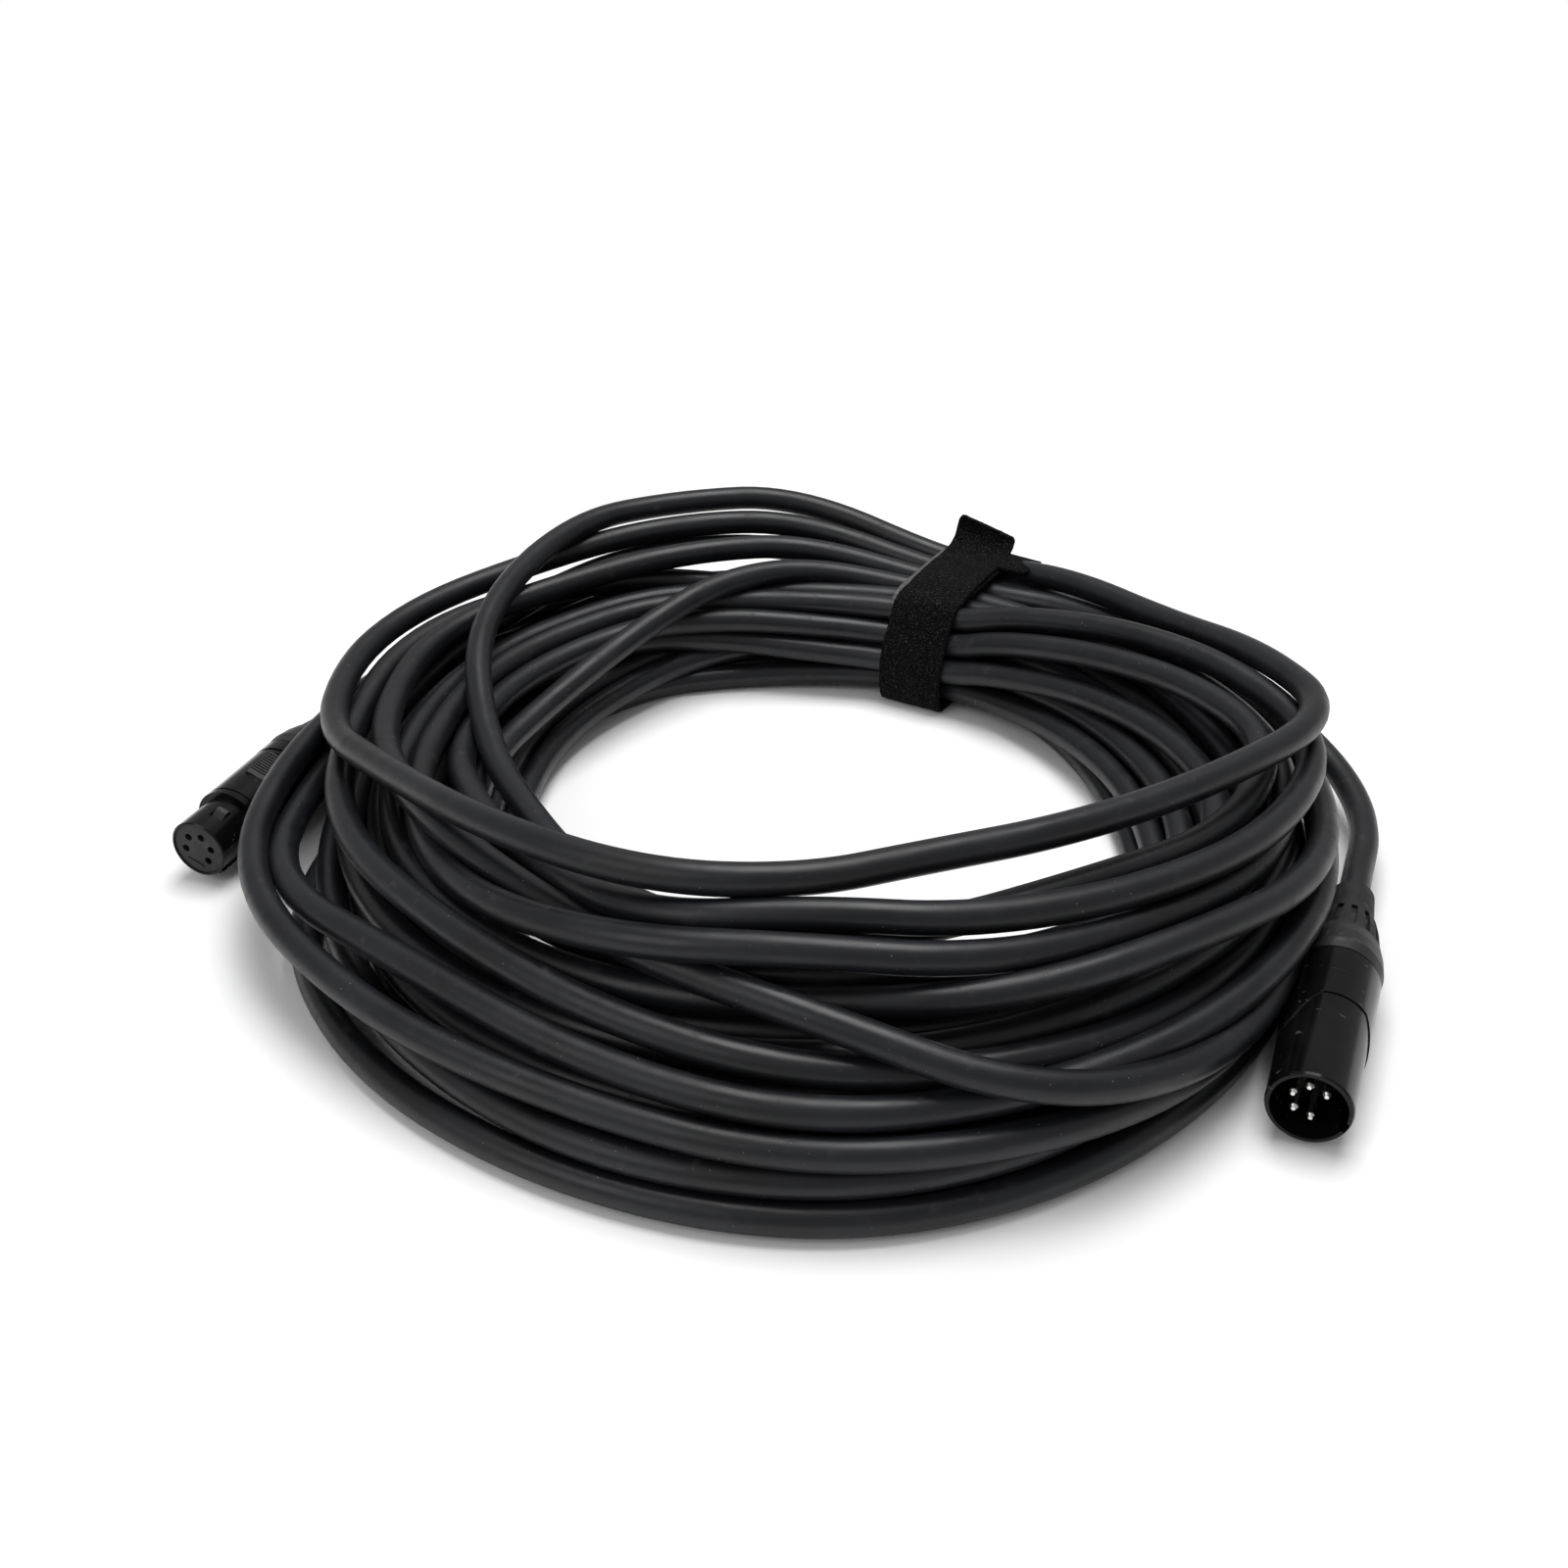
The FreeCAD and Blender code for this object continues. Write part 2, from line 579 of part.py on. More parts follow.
def add_plug():
    """Every piece of the connector with pins."""
    add_plug_shell()
    add_plug_insert()
    add_plug_pins()
    add_plug_ground_ring()
    add_chuck(PLUG, "plug_chuck", "plug_length")
    add_bushing(PLUG, "plug_bushing", "plug_length")
    add_boot(PLUG, "plug_boot", "plug_length")
    add_cable_end(PLUG, "plug_cable_end", "plug_length")


def add_socket_shell():
    """The socket's metal shell: nose, stop ring, barrel, key rib and the latch's openings."""
    body = new_body("socket_shell")
    collar_rear = "nose_length + collar_length"
    groove_rear = f"{collar_rear} + collar_groove_length"
    band_rear = "band_groove_front + band_groove_length"
    thread_front = "socket_length - thread_length"
    revolved(body, [
        ("nose_bore_radius", "0"),
        ("nose_radius - 0.3", "0"),
        ("nose_radius", "0.3"),
        ("nose_radius", "nose_length"),
        ("shell_front_radius", "nose_length"),
        ("shell_front_radius", collar_rear),
        ("shell_front_radius - collar_groove_depth", collar_rear),
        ("shell_front_radius - collar_groove_depth", groove_rear),
        ("shell_front_radius", groove_rear),
        ("shell_rear_radius - 0.2", "band_groove_front"),
        ("shell_rear_radius - 0.7", "band_groove_front"),
        ("shell_rear_radius - 0.7", band_rear),
        ("shell_rear_radius - 0.1", band_rear),
        ("shell_rear_radius", "socket_length - 0.4"),
        ("shell_rear_radius - 0.3", "socket_length"),
        ("thread_bore_radius", "socket_length"),
        ("thread_bore_radius", thread_front),
        ("rear_bore_radius", thread_front),
        ("rear_bore_radius", "cavity_depth"),
        ("nose_bore_radius", "cavity_depth"),
    ])
    arm_slot = "latch_arm_width + 2*tab_gap"
    pocketed(body, "XZ_Plane", box_outline("nose_bore_radius - 1", "latch_front - 2*tab_gap",
                                           "nose_radius + 1", "latch_front + hook_length + tab_gap"),
             arm_slot)
    pocketed(body, "XZ_Plane", box_outline("rear_bore_radius - 2", "tab_front - tab_gap",
                                           "shell_rear_radius + 1", "tab_front + tab_length + tab_gap"),
             "tab_width + 2*tab_gap")
    rib = new_body("socket_key_rib")
    padded(rib, "XZ_Plane", box_outline("nose_radius - 0.4", "1", "nose_radius + key_rib_height",
                                        "nose_length + 0.5"), "key_rib_width")
    rib.Placement = FreeCAD.Placement(FreeCAD.Vector(), FreeCAD.Rotation(FreeCAD.Vector(0, 0, 1),
                                                                        KEY_RIB_TURN))
    shell = document.addObject("Part::Fuse", "socket_shell_fused")
    shell.Base = body
    shell.Tool = rib
    body.Label = "socket_shell_blank"
    finish(shell, connector_placement(SOCKET), "socket_shell")


def add_socket_insert():
    """The moulded block with five holes, a ridge on its face and a channel for the latch."""
    body = new_body("socket_insert_blank")
    flange_front = "cavity_depth + face_gap"
    revolved(body, [
        ("0", "insert_recess"),
        ("nose_bore_radius - running_gap", "insert_recess"),
        ("nose_bore_radius - running_gap", flange_front),
        ("rear_bore_radius - running_gap", flange_front),
        ("rear_bore_radius - running_gap", "insert_rear"),
        ("0", "insert_rear"),
    ])
    mouth = turned_pin(body, contact_column("socket_mouth_radius", "insert_recess - 1",
                                            "insert_rear - 1"), "PartDesign::Groove")
    seat = turned_pin(body, contact_column("socket_radius + running_gap",
                                           "insert_recess + socket_depth", "insert_rear + 1"),
                      "PartDesign::Groove")
    ringed(body, [mouth, seat], CONTACTS, 240)
    channel = new_body("socket_insert_channel")
    padded(channel, "XZ_Plane", box_outline("latch_channel_radius", "latch_front - 3*tab_gap",
                                            "rear_bore_radius + 1", "insert_rear + 1"),
           "latch_arm_width + 2*tab_gap")
    channel.Placement = FreeCAD.Placement(FreeCAD.Vector(), FreeCAD.Rotation(
        FreeCAD.Vector(0, 0, 1), -SOCKET["contact_turn"]))
    ridge = new_body("socket_insert_ridge")
    padded(ridge, "XZ_Plane", box_outline("ridge_offset", "insert_recess - ridge_height",
                                          "ridge_offset + ridge_width", "insert_recess + 0.2"),
           "ridge_length")
    ridge.Placement = FreeCAD.Placement(FreeCAD.Vector(), FreeCAD.Rotation(
        FreeCAD.Vector(0, 0, 1), -60))
    grooved = document.addObject("Part::Cut", "socket_insert_cut")
    grooved.Base = body
    grooved.Tool = channel
    insert = document.addObject("Part::Fuse", "socket_insert_fused")
    insert.Base = grooved
    insert.Tool = ridge
    finish(insert, contact_frame(SOCKET), "socket_insert")


def add_socket_contacts():
    """Five contact tubes in one group, each with a solder cup behind the insert."""
    body = new_body("socket_contacts")
    cup_rear = "insert_rear + cup_length"
    front = "insert_recess + socket_depth + face_gap"
    tube = turned_pin(body, contact_column("socket_radius", front, cup_rear))
    bore = turned_pin(body, contact_column("socket_bore_radius", f"{front} - 1", "insert_rear - 7"),
                      "PartDesign::Groove")
    cup = turned_pin(body, contact_column("cup_bore_radius", f"{cup_rear} - cup_depth", f"{cup_rear} + 1"),
                     "PartDesign::Groove")
    ringed(body, [tube, bore, cup], CONTACTS, 240)
    finish(body, contact_frame(SOCKET))


def add_socket_latch():
    """The latch lever: a hook in the nose, an arm along the insert and a grooved push tab."""
    arm = new_body("socket_latch_arm")
    underside = "latch_arm_radius - latch_arm_thickness"
    hook_rear = "latch_front + hook_length"
    padded(arm, "XZ_Plane", [
        (underside, "latch_front"),
        ("latch_arm_radius", "latch_front"),
        ("hook_radius", "latch_front + 1.8"),
        ("hook_radius", hook_rear),
        ("latch_arm_radius", hook_rear),
        ("latch_arm_radius", "tab_front - 0.6"),
        ("tab_underside_radius + 0.6", "tab_front"),
        ("tab_underside_radius + 0.6", "tab_front + 3"),
        ("tab_underside_radius", "tab_front + 3"),
        (underside, "tab_front - 0.6"),
    ], "latch_arm_width")
    tab = new_body("socket_latch_tab")
    padded(tab, "XZ_Plane", [
        ("tab_underside_radius", "tab_front"),
        ("tab_radius - 0.5", "tab_front"),
        ("tab_radius", "tab_front + 1"),
        ("tab_radius", "tab_front + tab_length - 1"),
        ("tab_radius - 0.4", "tab_front + tab_length"),
        ("tab_underside_radius", "tab_front + tab_length"),
    ], "tab_width")
    groove = pocketed(tab, "XZ_Plane", box_outline("tab_radius - rib_depth",
                                                   "tab_front + rib_margin", "tab_radius + 1",
                                                   "tab_front + rib_margin + rib_width"),
                      "tab_width + 1")
    row = tab.newObject("PartDesign::LinearPattern", "socket_latch_grooves")
    row.Originals = [groove]
    row.Direction = (origin_feature(tab, "Z_Axis"), [""])
    row.setExpression("Length", bound("tab_length - 2*rib_margin - rib_width"))
    row.Occurrences = GRIP_GROOVES
    tab.Tip = row
    bead = document.addObject("Part::Cylinder", "socket_latch_bead")
    bead.setExpression("Radius", "Sizes.pivot_radius")
    bead.setExpression("Height", "Sizes.tab_width")
    bead.setExpression("Placement.Base.x", "Sizes.tab_underside_radius")
    bead.setExpression("Placement.Base.y", "Sizes.tab_width / 2")
    bead.setExpression("Placement.Base.z", bound("tab_front + tab_length - pivot_margin"))
    bead.Placement.Rotation = FreeCAD.Rotation(FreeCAD.Vector(1, 0, 0), 90)
    lever = document.addObject("Part::MultiFuse", "socket_latch_fused")
    lever.Shapes = [arm, tab, bead]
    finish(lever, connector_placement(SOCKET), "socket_latch")


def add_socket_latch_spring():
    """The leaf that lifts the latch, lying on the floor of the channel."""
    body = new_body("socket_latch_spring")
    padded(body, "XZ_Plane", box_outline("latch_channel_radius", "insert_rear - 1 - spring_length",
                                         "latch_channel_radius + spring_thickness",
                                         "insert_rear - 1"), "latch_arm_width - tab_gap")
    finish(body, connector_placement(SOCKET))


def add_socket():
    """Every piece of the connector with holes."""
    add_socket_shell()
    add_socket_insert()
    add_socket_contacts()
    add_socket_latch()
    add_socket_latch_spring()
    add_chuck(SOCKET, "socket_chuck", "socket_length", latch_slot=True)
    add_bushing(SOCKET, "socket_bushing", "socket_length")
    add_boot(SOCKET, "socket_boot", "socket_length")
    add_cable_end(SOCKET, "socket_cable_end", "socket_length")


def bulged_arc(start, direction, end):
    """The arc that leaves start along direction and reaches end, and its radius."""
    chord = end - start
    half_turn = math.acos(max(-1.0, min(1.0, direction.dot(chord) / chord.Length)))
    radius = chord.Length / (2 * math.sin(half_turn))
    bulge = direction - chord * (direction.dot(chord) / chord.dot(chord))
    bulge.normalize()
    middle = (start + end) * 0.5 + bulge * (radius * (1 - math.cos(half_turn)))
    return Part.Arc(start, middle, end).toShape(), radius


def biarc(start, start_heading, end, end_heading):
    """Two tangent arcs from start to end, and the smaller of their radii."""
    gap = end - start
    both = start_heading + end_heading
    spread = 2 * (1 - start_heading.dot(end_heading))
    reach = (math.sqrt(gap.dot(both) ** 2 + spread * gap.dot(gap)) - gap.dot(both)) / spread
    joint = (start + start_heading * reach + end - end_heading * reach) * 0.5
    first, first_radius = bulged_arc(start, start_heading, joint)
    mirrored, second_radius = bulged_arc(end, end_heading * -1, joint)
    middle = mirrored.valueAt(0.5 * (mirrored.FirstParameter + mirrored.LastParameter))
    second = Part.Arc(joint, middle, end).toShape()
    return [first, second], min(first_radius, second_radius)


def coil_count(quarter):
    """How many loops in and how many layers up the cable lies after so many quarter turns.

    Each layer spirals in or out at a steady rate, and the last half turn of a layer climbs to the
    next one, where the spiral reverses.
    """
    in_layer = QUARTERS * LOOPS_IN_LAYER
    layer = min(quarter // in_layer, LAYERS - 1)
    travelled = quarter - layer * in_layer
    top = layer == LAYERS - 1
    spiral = travelled if top else min(travelled, in_layer - 2)
    climbed = 0 if top else max(0, travelled - (in_layer - 2)) / 2
    loops = spiral / QUARTERS
    if layer % 2:
        loops = LOOPS_IN_LAYER - 0.5 - loops
    return loops, layer + climbed


def coil_point(quarter):
    """The cable's centre after so many quarter turns."""
    station = STATIONS[quarter % QUARTERS]
    loops, layers = coil_count(quarter)
    heading = math.radians(station["heading"])
    outward = FreeCAD.Vector(-math.sin(heading), math.cos(heading), 0)
    centre = FreeCAD.Vector(*station["at"], 0)
    point = centre + outward * ((MIDDLE_LOOP - loops) * station["across"] + layers * station["lean"])
    lowest = 0.5 * size("cable_diameter") - size("floor_flat")
    point.z = lowest + station["lift"] + layers * station["rise"] + loops * station["up"]
    return point


def coil_heading(quarter, last):
    """The cable's direction after so many quarter turns, with its spiral and its climb."""
    station = STATIONS[quarter % QUARTERS]
    heading = math.radians(station["heading"])
    along = FreeCAD.Vector(math.cos(heading), math.sin(heading), 0)
    outward = FreeCAD.Vector(-along.y, along.x, 0)
    before, after = max(quarter - 1, 0), min(quarter + 1, last)
    inward = (coil_count(after)[0] - coil_count(before)[0]) * station["across"]
    inward /= STATION_SPACING * (after - before)
    fall = coil_point(quarter).z - coil_point(before).z
    rise = coil_point(after).z - coil_point(quarter).z
    climb = 0.0
    if fall * rise > 0:
        climb = 2 * fall * rise / (fall + rise) / STATION_SPACING
    direction = along - outward * inward + FreeCAD.Vector(0, 0, climb)
    direction.normalize()
    return direction


def coil_path():
    """The wire of the whole coil and its two ends, each a point and a direction."""
    last = QUARTERS * LOOPS_IN_LAYER * LAYERS
    points = [coil_point(quarter) for quarter in range(last + 1)]
    headings = [coil_heading(quarter, last) for quarter in range(last + 1)]
    lead = size("coil_lead")
    start = points[0] - headings[0] * lead
    end = points[last] + headings[last] * lead
    edges = [Part.LineSegment(start, points[0]).toShape()]
    least_radius = math.inf
    for quarter in range(last):
        arcs, radius = biarc(points[quarter], headings[quarter], points[quarter + 1],
                             headings[quarter + 1])
        edges += arcs
        least_radius = min(least_radius, radius)
    edges.append(Part.LineSegment(points[last], end).toShape())
    print(f"coil: {LAYERS * LOOPS_IN_LAYER} loops, {sum(edge.Length for edge in edges):.0f} mm,"
          f" least radius {least_radius:.1f} mm")
    return edges, (start, headings[0]), (end, headings[last])


def least_gap(edges, step=1.5):
    """The least distance between the surfaces of two loops, measured on points of the path."""
    diameter = size("cable_diameter")
    cell = diameter + 2
    travelled = 0.0
    samples = []
    for edge in edges:
        count = max(2, int(edge.Length / step) + 1)
        for point in edge.discretize(count)[:-1]:
            samples.append((point.x, point.y, point.z, travelled))
            travelled += edge.Length / (count - 1)
    cells = {}
    for number, sample in enumerate(samples):
        key = tuple(int(coordinate // cell) for coordinate in sample[:3])
        cells.setdefault(key, []).append(number)
    least = cell ** 2
    steps = (-1, 0, 1)
    for (i, j, k), members in cells.items():
        around = [number for di in steps for dj in steps for dk in steps
                  for number in cells.get((i + di, j + dj, k + dk), ())]
        for one in members:
            x, y, z, reached = samples[one]
            for other in around:
                if other <= one or samples[other][3] - reached < 5 * diameter:
                    continue
                p, q, r, _ = samples[other]
                least = min(least, (p - x) ** 2 + (q - y) ** 2 + (r - z) ** 2)
    return math.sqrt(least) - diameter


def tube_along(edges, start, direction, diameter):
    """A solid round tube along a path. Its volume is compared with section times length."""
    wire = Part.Wire(edges)
    ring = Part.Wire([Part.Circle(start, direction, 0.5 * diameter).toShape()])
    pipe = Part.BRepOffsetAPI.MakePipeShell(wire)
    pipe.add(ring)
    pipe.build()
    pipe.makeSolid()
    tube = pipe.shape()
    expected = math.pi * diameter ** 2 / 4 * wire.Length
    if abs(tube.Volume - expected) > 0.005 * expected:
        raise RuntimeError(f"tube of {tube.Volume:.0f} mm3, not {expected:.0f}")
    return tube


def add_shape(label, shape):
    """A piece whose shape comes from Part's own functions."""
    piece = document.addObject("Part::Feature", label)
    piece.Shape = shape
    return finish(piece, label=label)


def add_coil():
    """The wound cable in one unbroken tube, cut flat where it lies on the floor."""
    edges, start, end = coil_path()
    gap = least_gap(edges)
    print(f"coil: least gap between loops {gap:.2f} mm")
    if gap < LEAST_COIL_GAP:
        raise RuntimeError("the loops lie too close together")
    tube = tube_along(edges, *start, size("cable_diameter"))
    floor = Part.makeBox(600, 600, 20, FreeCAD.Vector(-300, -300, -20))
    add_shape("cable_coil", tube.cut(floor).Solids[0])
    return start, end


def cable_end_point(connector, shell_length):
    """Where the straight cable end behind a boot stops, and the direction that it leaves in."""
    reach = value(f"{shell_length} + ring_length + face_gap + boot_length + cable_end_tail")
    placement = connector_placement(connector)
    direction = placement.Rotation.multVec(FreeCAD.Vector(0, 0, 1))
    return placement.multVec(FreeCAD.Vector(0, 0, reach)), direction


def rounded_route(corners):
    """Straight runs joined by tangent arcs, each as large as its two runs allow, and their radii."""
    edges = []
    radii = []
    reached = corners[0]
    for before, corner, after in zip(corners, corners[1:], corners[2:]):
        incoming, outgoing = corner - before, after - corner
        trim = 0.45 * min(incoming.Length, outgoing.Length)
        turn = incoming.getAngle(outgoing)
        radii.append(trim / math.tan(turn / 2))
        incoming.normalize()
        outgoing.normalize()
        leave, join = corner - incoming * trim, corner + outgoing * trim
        arc, _ = bulged_arc(leave, incoming, join)
        edges += [Part.LineSegment(reached, leave).toShape(), arc]
        reached = join
    edges.append(Part.LineSegment(reached, corners[-1]).toShape())
    return edges, radii


def add_tail(label, connector, shell_length, route, coil_end, first_run, last_run):
    """The free cable from a boot to one end of the coil."""
    start, leaving = cable_end_point(connector, shell_length)
    end, outward = coil_end
    corners = [start, start + leaving * first_run]
    corners += [FreeCAD.Vector(*place) for place in route]
    corners += [end + outward * last_run, end]
    edges, radii = rounded_route(corners)
    print(f"{label}: {sum(edge.Length for edge in edges):.0f} mm, radii"
          f" {', '.join(f'{radius:.0f}' for radius in radii)} mm")
    add_shape(label, tube_along(edges, start, leaving, size("cable_diameter")))


def add_conductors(label, connector, shell_length):
    """The insulated conductors from the cable's core to the solder cups, in one group."""
    circle, core = size("pin_circle_radius"), size("wire_circle_radius")
    cup_rear = value("insert_rear + cup_length")
    front = cup_rear - size("cup_depth") + 1
    rear = value(f"{shell_length} - thread_length - collet_setback")
    corners = [FreeCAD.Vector(circle, 0, front), FreeCAD.Vector(circle, 0, cup_rear + 1.5),
               FreeCAD.Vector(core, 0, rear - 1), FreeCAD.Vector(core, 0, rear)]
    edges, _ = rounded_route(corners)
    axis = FreeCAD.Vector(0, 0, 1)
    wire = tube_along(edges, corners[0], axis, 2 * size("wire_radius"))
    wires = []
    for number in range(CONTACTS):
        turned = wire.copy()
        turned.rotate(FreeCAD.Vector(), axis, 60 * number)
        wires.append(turned)
    piece = document.addObject("Part::Feature", label)
    piece.Shape = Part.makeCompound(wires)
    finish(piece, contact_frame(connector), label)


def tie_placement():
    """The tie's own frame: X outward from the coil, Y up, Z along the bundle."""
    station = STATIONS[0]
    heading = math.radians(station["heading"])
    along = FreeCAD.Vector(math.cos(heading), math.sin(heading), 0)
    outward = FreeCAD.Vector(-along.y, along.x, 0)
    rotation = FreeCAD.Rotation(outward, FreeCAD.Vector(0, 0, 1), outward.cross(FreeCAD.Vector(0, 0, 1)),
                                "ZXY")
    return FreeCAD.Placement(FreeCAD.Vector(*station["at"], 0), rotation)


def bundle_box():
    """The half width outward and inward, and the underside and top, of the bundle in the tie."""
    station = STATIONS[0]
    radius = 0.5 * size("cable_diameter")
    inward = (LOOPS_IN_LAYER - 0.5 - MIDDLE_LOOP) * station["across"] + radius
    outward = (MIDDLE_LOOP + 0.5) * station["across"] + radius
    under = station["lift"] - size("floor_flat")
    top = under + (LAYERS - 1) * station["rise"] + 2 * radius
    return inward, outward, under, top


def band_shape(grow, width):
    """A block round the bundle, grown by a distance and rounded at its corners."""
    inward, outward, under, top = bundle_box()
    reach = size("tie_under_gap") + grow
    side = size("tie_gap") + grow
    lower_outward = outward - 0.5 * STATIONS[0]["across"]
    corners = [
        FreeCAD.Vector(-inward - side, under - reach, -width / 2),
        FreeCAD.Vector(lower_outward + side, under - reach, -width / 2),
        FreeCAD.Vector(outward + side, 0.5 * (under + top), -width / 2),
        FreeCAD.Vector(outward + side, top + side, -width / 2),
        FreeCAD.Vector(-inward - side, top + side, -width / 2),
    ]
    block = Part.Face(Part.makePolygon(corners + corners[:1])).extrude(FreeCAD.Vector(0, 0, width))
    along = [edge for edge in block.Edges if abs(edge.tangentAt(edge.FirstParameter).z) > 0.99]
    return block.makeFillet(size("tie_corner_radius") + grow, along)


def add_tie_band():
    """The woven band round the bundle."""
    width = size("tie_width")
    band = band_shape(size("tie_thickness"), width).cut(band_shape(0, width + 2))
    piece = document.addObject("Part::Feature", "tie_band")
    piece.Shape = band
    finish(piece, tie_placement(), "tie_band")


def add_tie_hook_tab():
    """The hooked end of the tie, pressed on the band's top with its free end standing up."""
    inward, outward, under, top = bundle_box()
    low = top + size("tie_gap") + size("tie_thickness") + size("face_gap")
    high = low + size("hook_tab_thickness")
    rise = size("hook_tab_rise")
    right = outward - 2
    left = right - size("hook_tab_overlap")
    outline = [(left, low), (right, low), (right + 0.5 * rise, low + rise),
               (right + 0.5 * rise - 1.2, low + rise + 0.5), (right - 0.8, high), (left, high)]
    width = size("tie_width") - 1
    corners = [FreeCAD.Vector(x, y, -width / 2) for x, y in outline]
    tab = Part.Face(Part.makePolygon(corners + corners[:1])).extrude(FreeCAD.Vector(0, 0, width))
    piece = document.addObject("Part::Feature", "tie_hook_tab")
    piece.Shape = tab
    finish(piece, tie_placement(), "tie_hook_tab")


def check_pieces():
    """Stop where any object failed or a piece's shape is missing or invalid."""
    for item in document.Objects:
        if {"Invalid", "Error"} & set(item.State):
            raise RuntimeError(f"{item.Label} did not recompute")
    for piece in pieces:
        if piece.Shape.isNull() or not piece.Shape.isValid() or not piece.Shape.Solids:
            raise RuntimeError(f"{piece.Label} has no valid solid")


add_plug()
add_conductors("plug_conductors", PLUG, "plug_length")
add_socket()
add_conductors("socket_conductors", SOCKET, "socket_length")
coil_start, coil_end = add_coil()
add_tail("socket_tail", SOCKET, "socket_length", SOCKET_TAIL, (coil_start[0], coil_start[1] * -1), 28, 30)
add_tail("plug_tail", PLUG, "plug_length", PLUG_TAIL, coil_end, 28, 30)
add_tie_band()
add_tie_hook_tab()
document.recompute()
check_pieces()

os.makedirs("parts", exist_ok=True)
for piece in pieces:
    box = piece.Shape.BoundBox
    print(f"{piece.Label}: {len(piece.Shape.Solids)} solid, {piece.Shape.Volume:.1f} mm3,"
          f" z {box.ZMin:.2f} to {box.ZMax:.2f}")
    piece.Shape.exportStep(f"parts/{piece.Label}.step")
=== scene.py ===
"""Looks of the coiled connector cable: one cord of 24 turns, its tie and its two connectors."""

import itertools
import logging
import math
from dataclasses import dataclass, field
from enum import Enum

import bpy
import numpy as np
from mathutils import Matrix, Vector


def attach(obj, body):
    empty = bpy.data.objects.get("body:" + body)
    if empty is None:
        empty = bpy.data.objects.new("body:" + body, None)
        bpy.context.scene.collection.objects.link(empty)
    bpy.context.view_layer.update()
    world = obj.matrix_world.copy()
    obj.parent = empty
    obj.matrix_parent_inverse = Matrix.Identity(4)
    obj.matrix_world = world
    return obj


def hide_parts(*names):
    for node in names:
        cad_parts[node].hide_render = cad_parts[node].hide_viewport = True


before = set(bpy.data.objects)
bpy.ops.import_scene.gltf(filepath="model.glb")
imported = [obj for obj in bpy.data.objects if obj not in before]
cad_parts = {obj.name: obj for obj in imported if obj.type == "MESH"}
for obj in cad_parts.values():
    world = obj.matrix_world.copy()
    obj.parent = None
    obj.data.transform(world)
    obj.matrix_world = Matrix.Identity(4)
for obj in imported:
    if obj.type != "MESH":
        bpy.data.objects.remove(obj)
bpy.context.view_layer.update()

MM = 0.001
TINY = 1e-6
# Headings on the plan, in degrees: the plug's axis, and the strands in the tie.
PLUG_HEADING, TIE_HEADING = 68, -30
Colour = tuple[float, float, float]
Socket = bpy.types.NodeSocket
# A place in a section of the coil: how far outward and how high, in millimetres.
Spot = tuple[float, float]
log = logging.getLogger("cable_set")


class Body(Enum):
    """The CAD bodies that pieces ride on."""

    CABLE_SET = "cable_set"


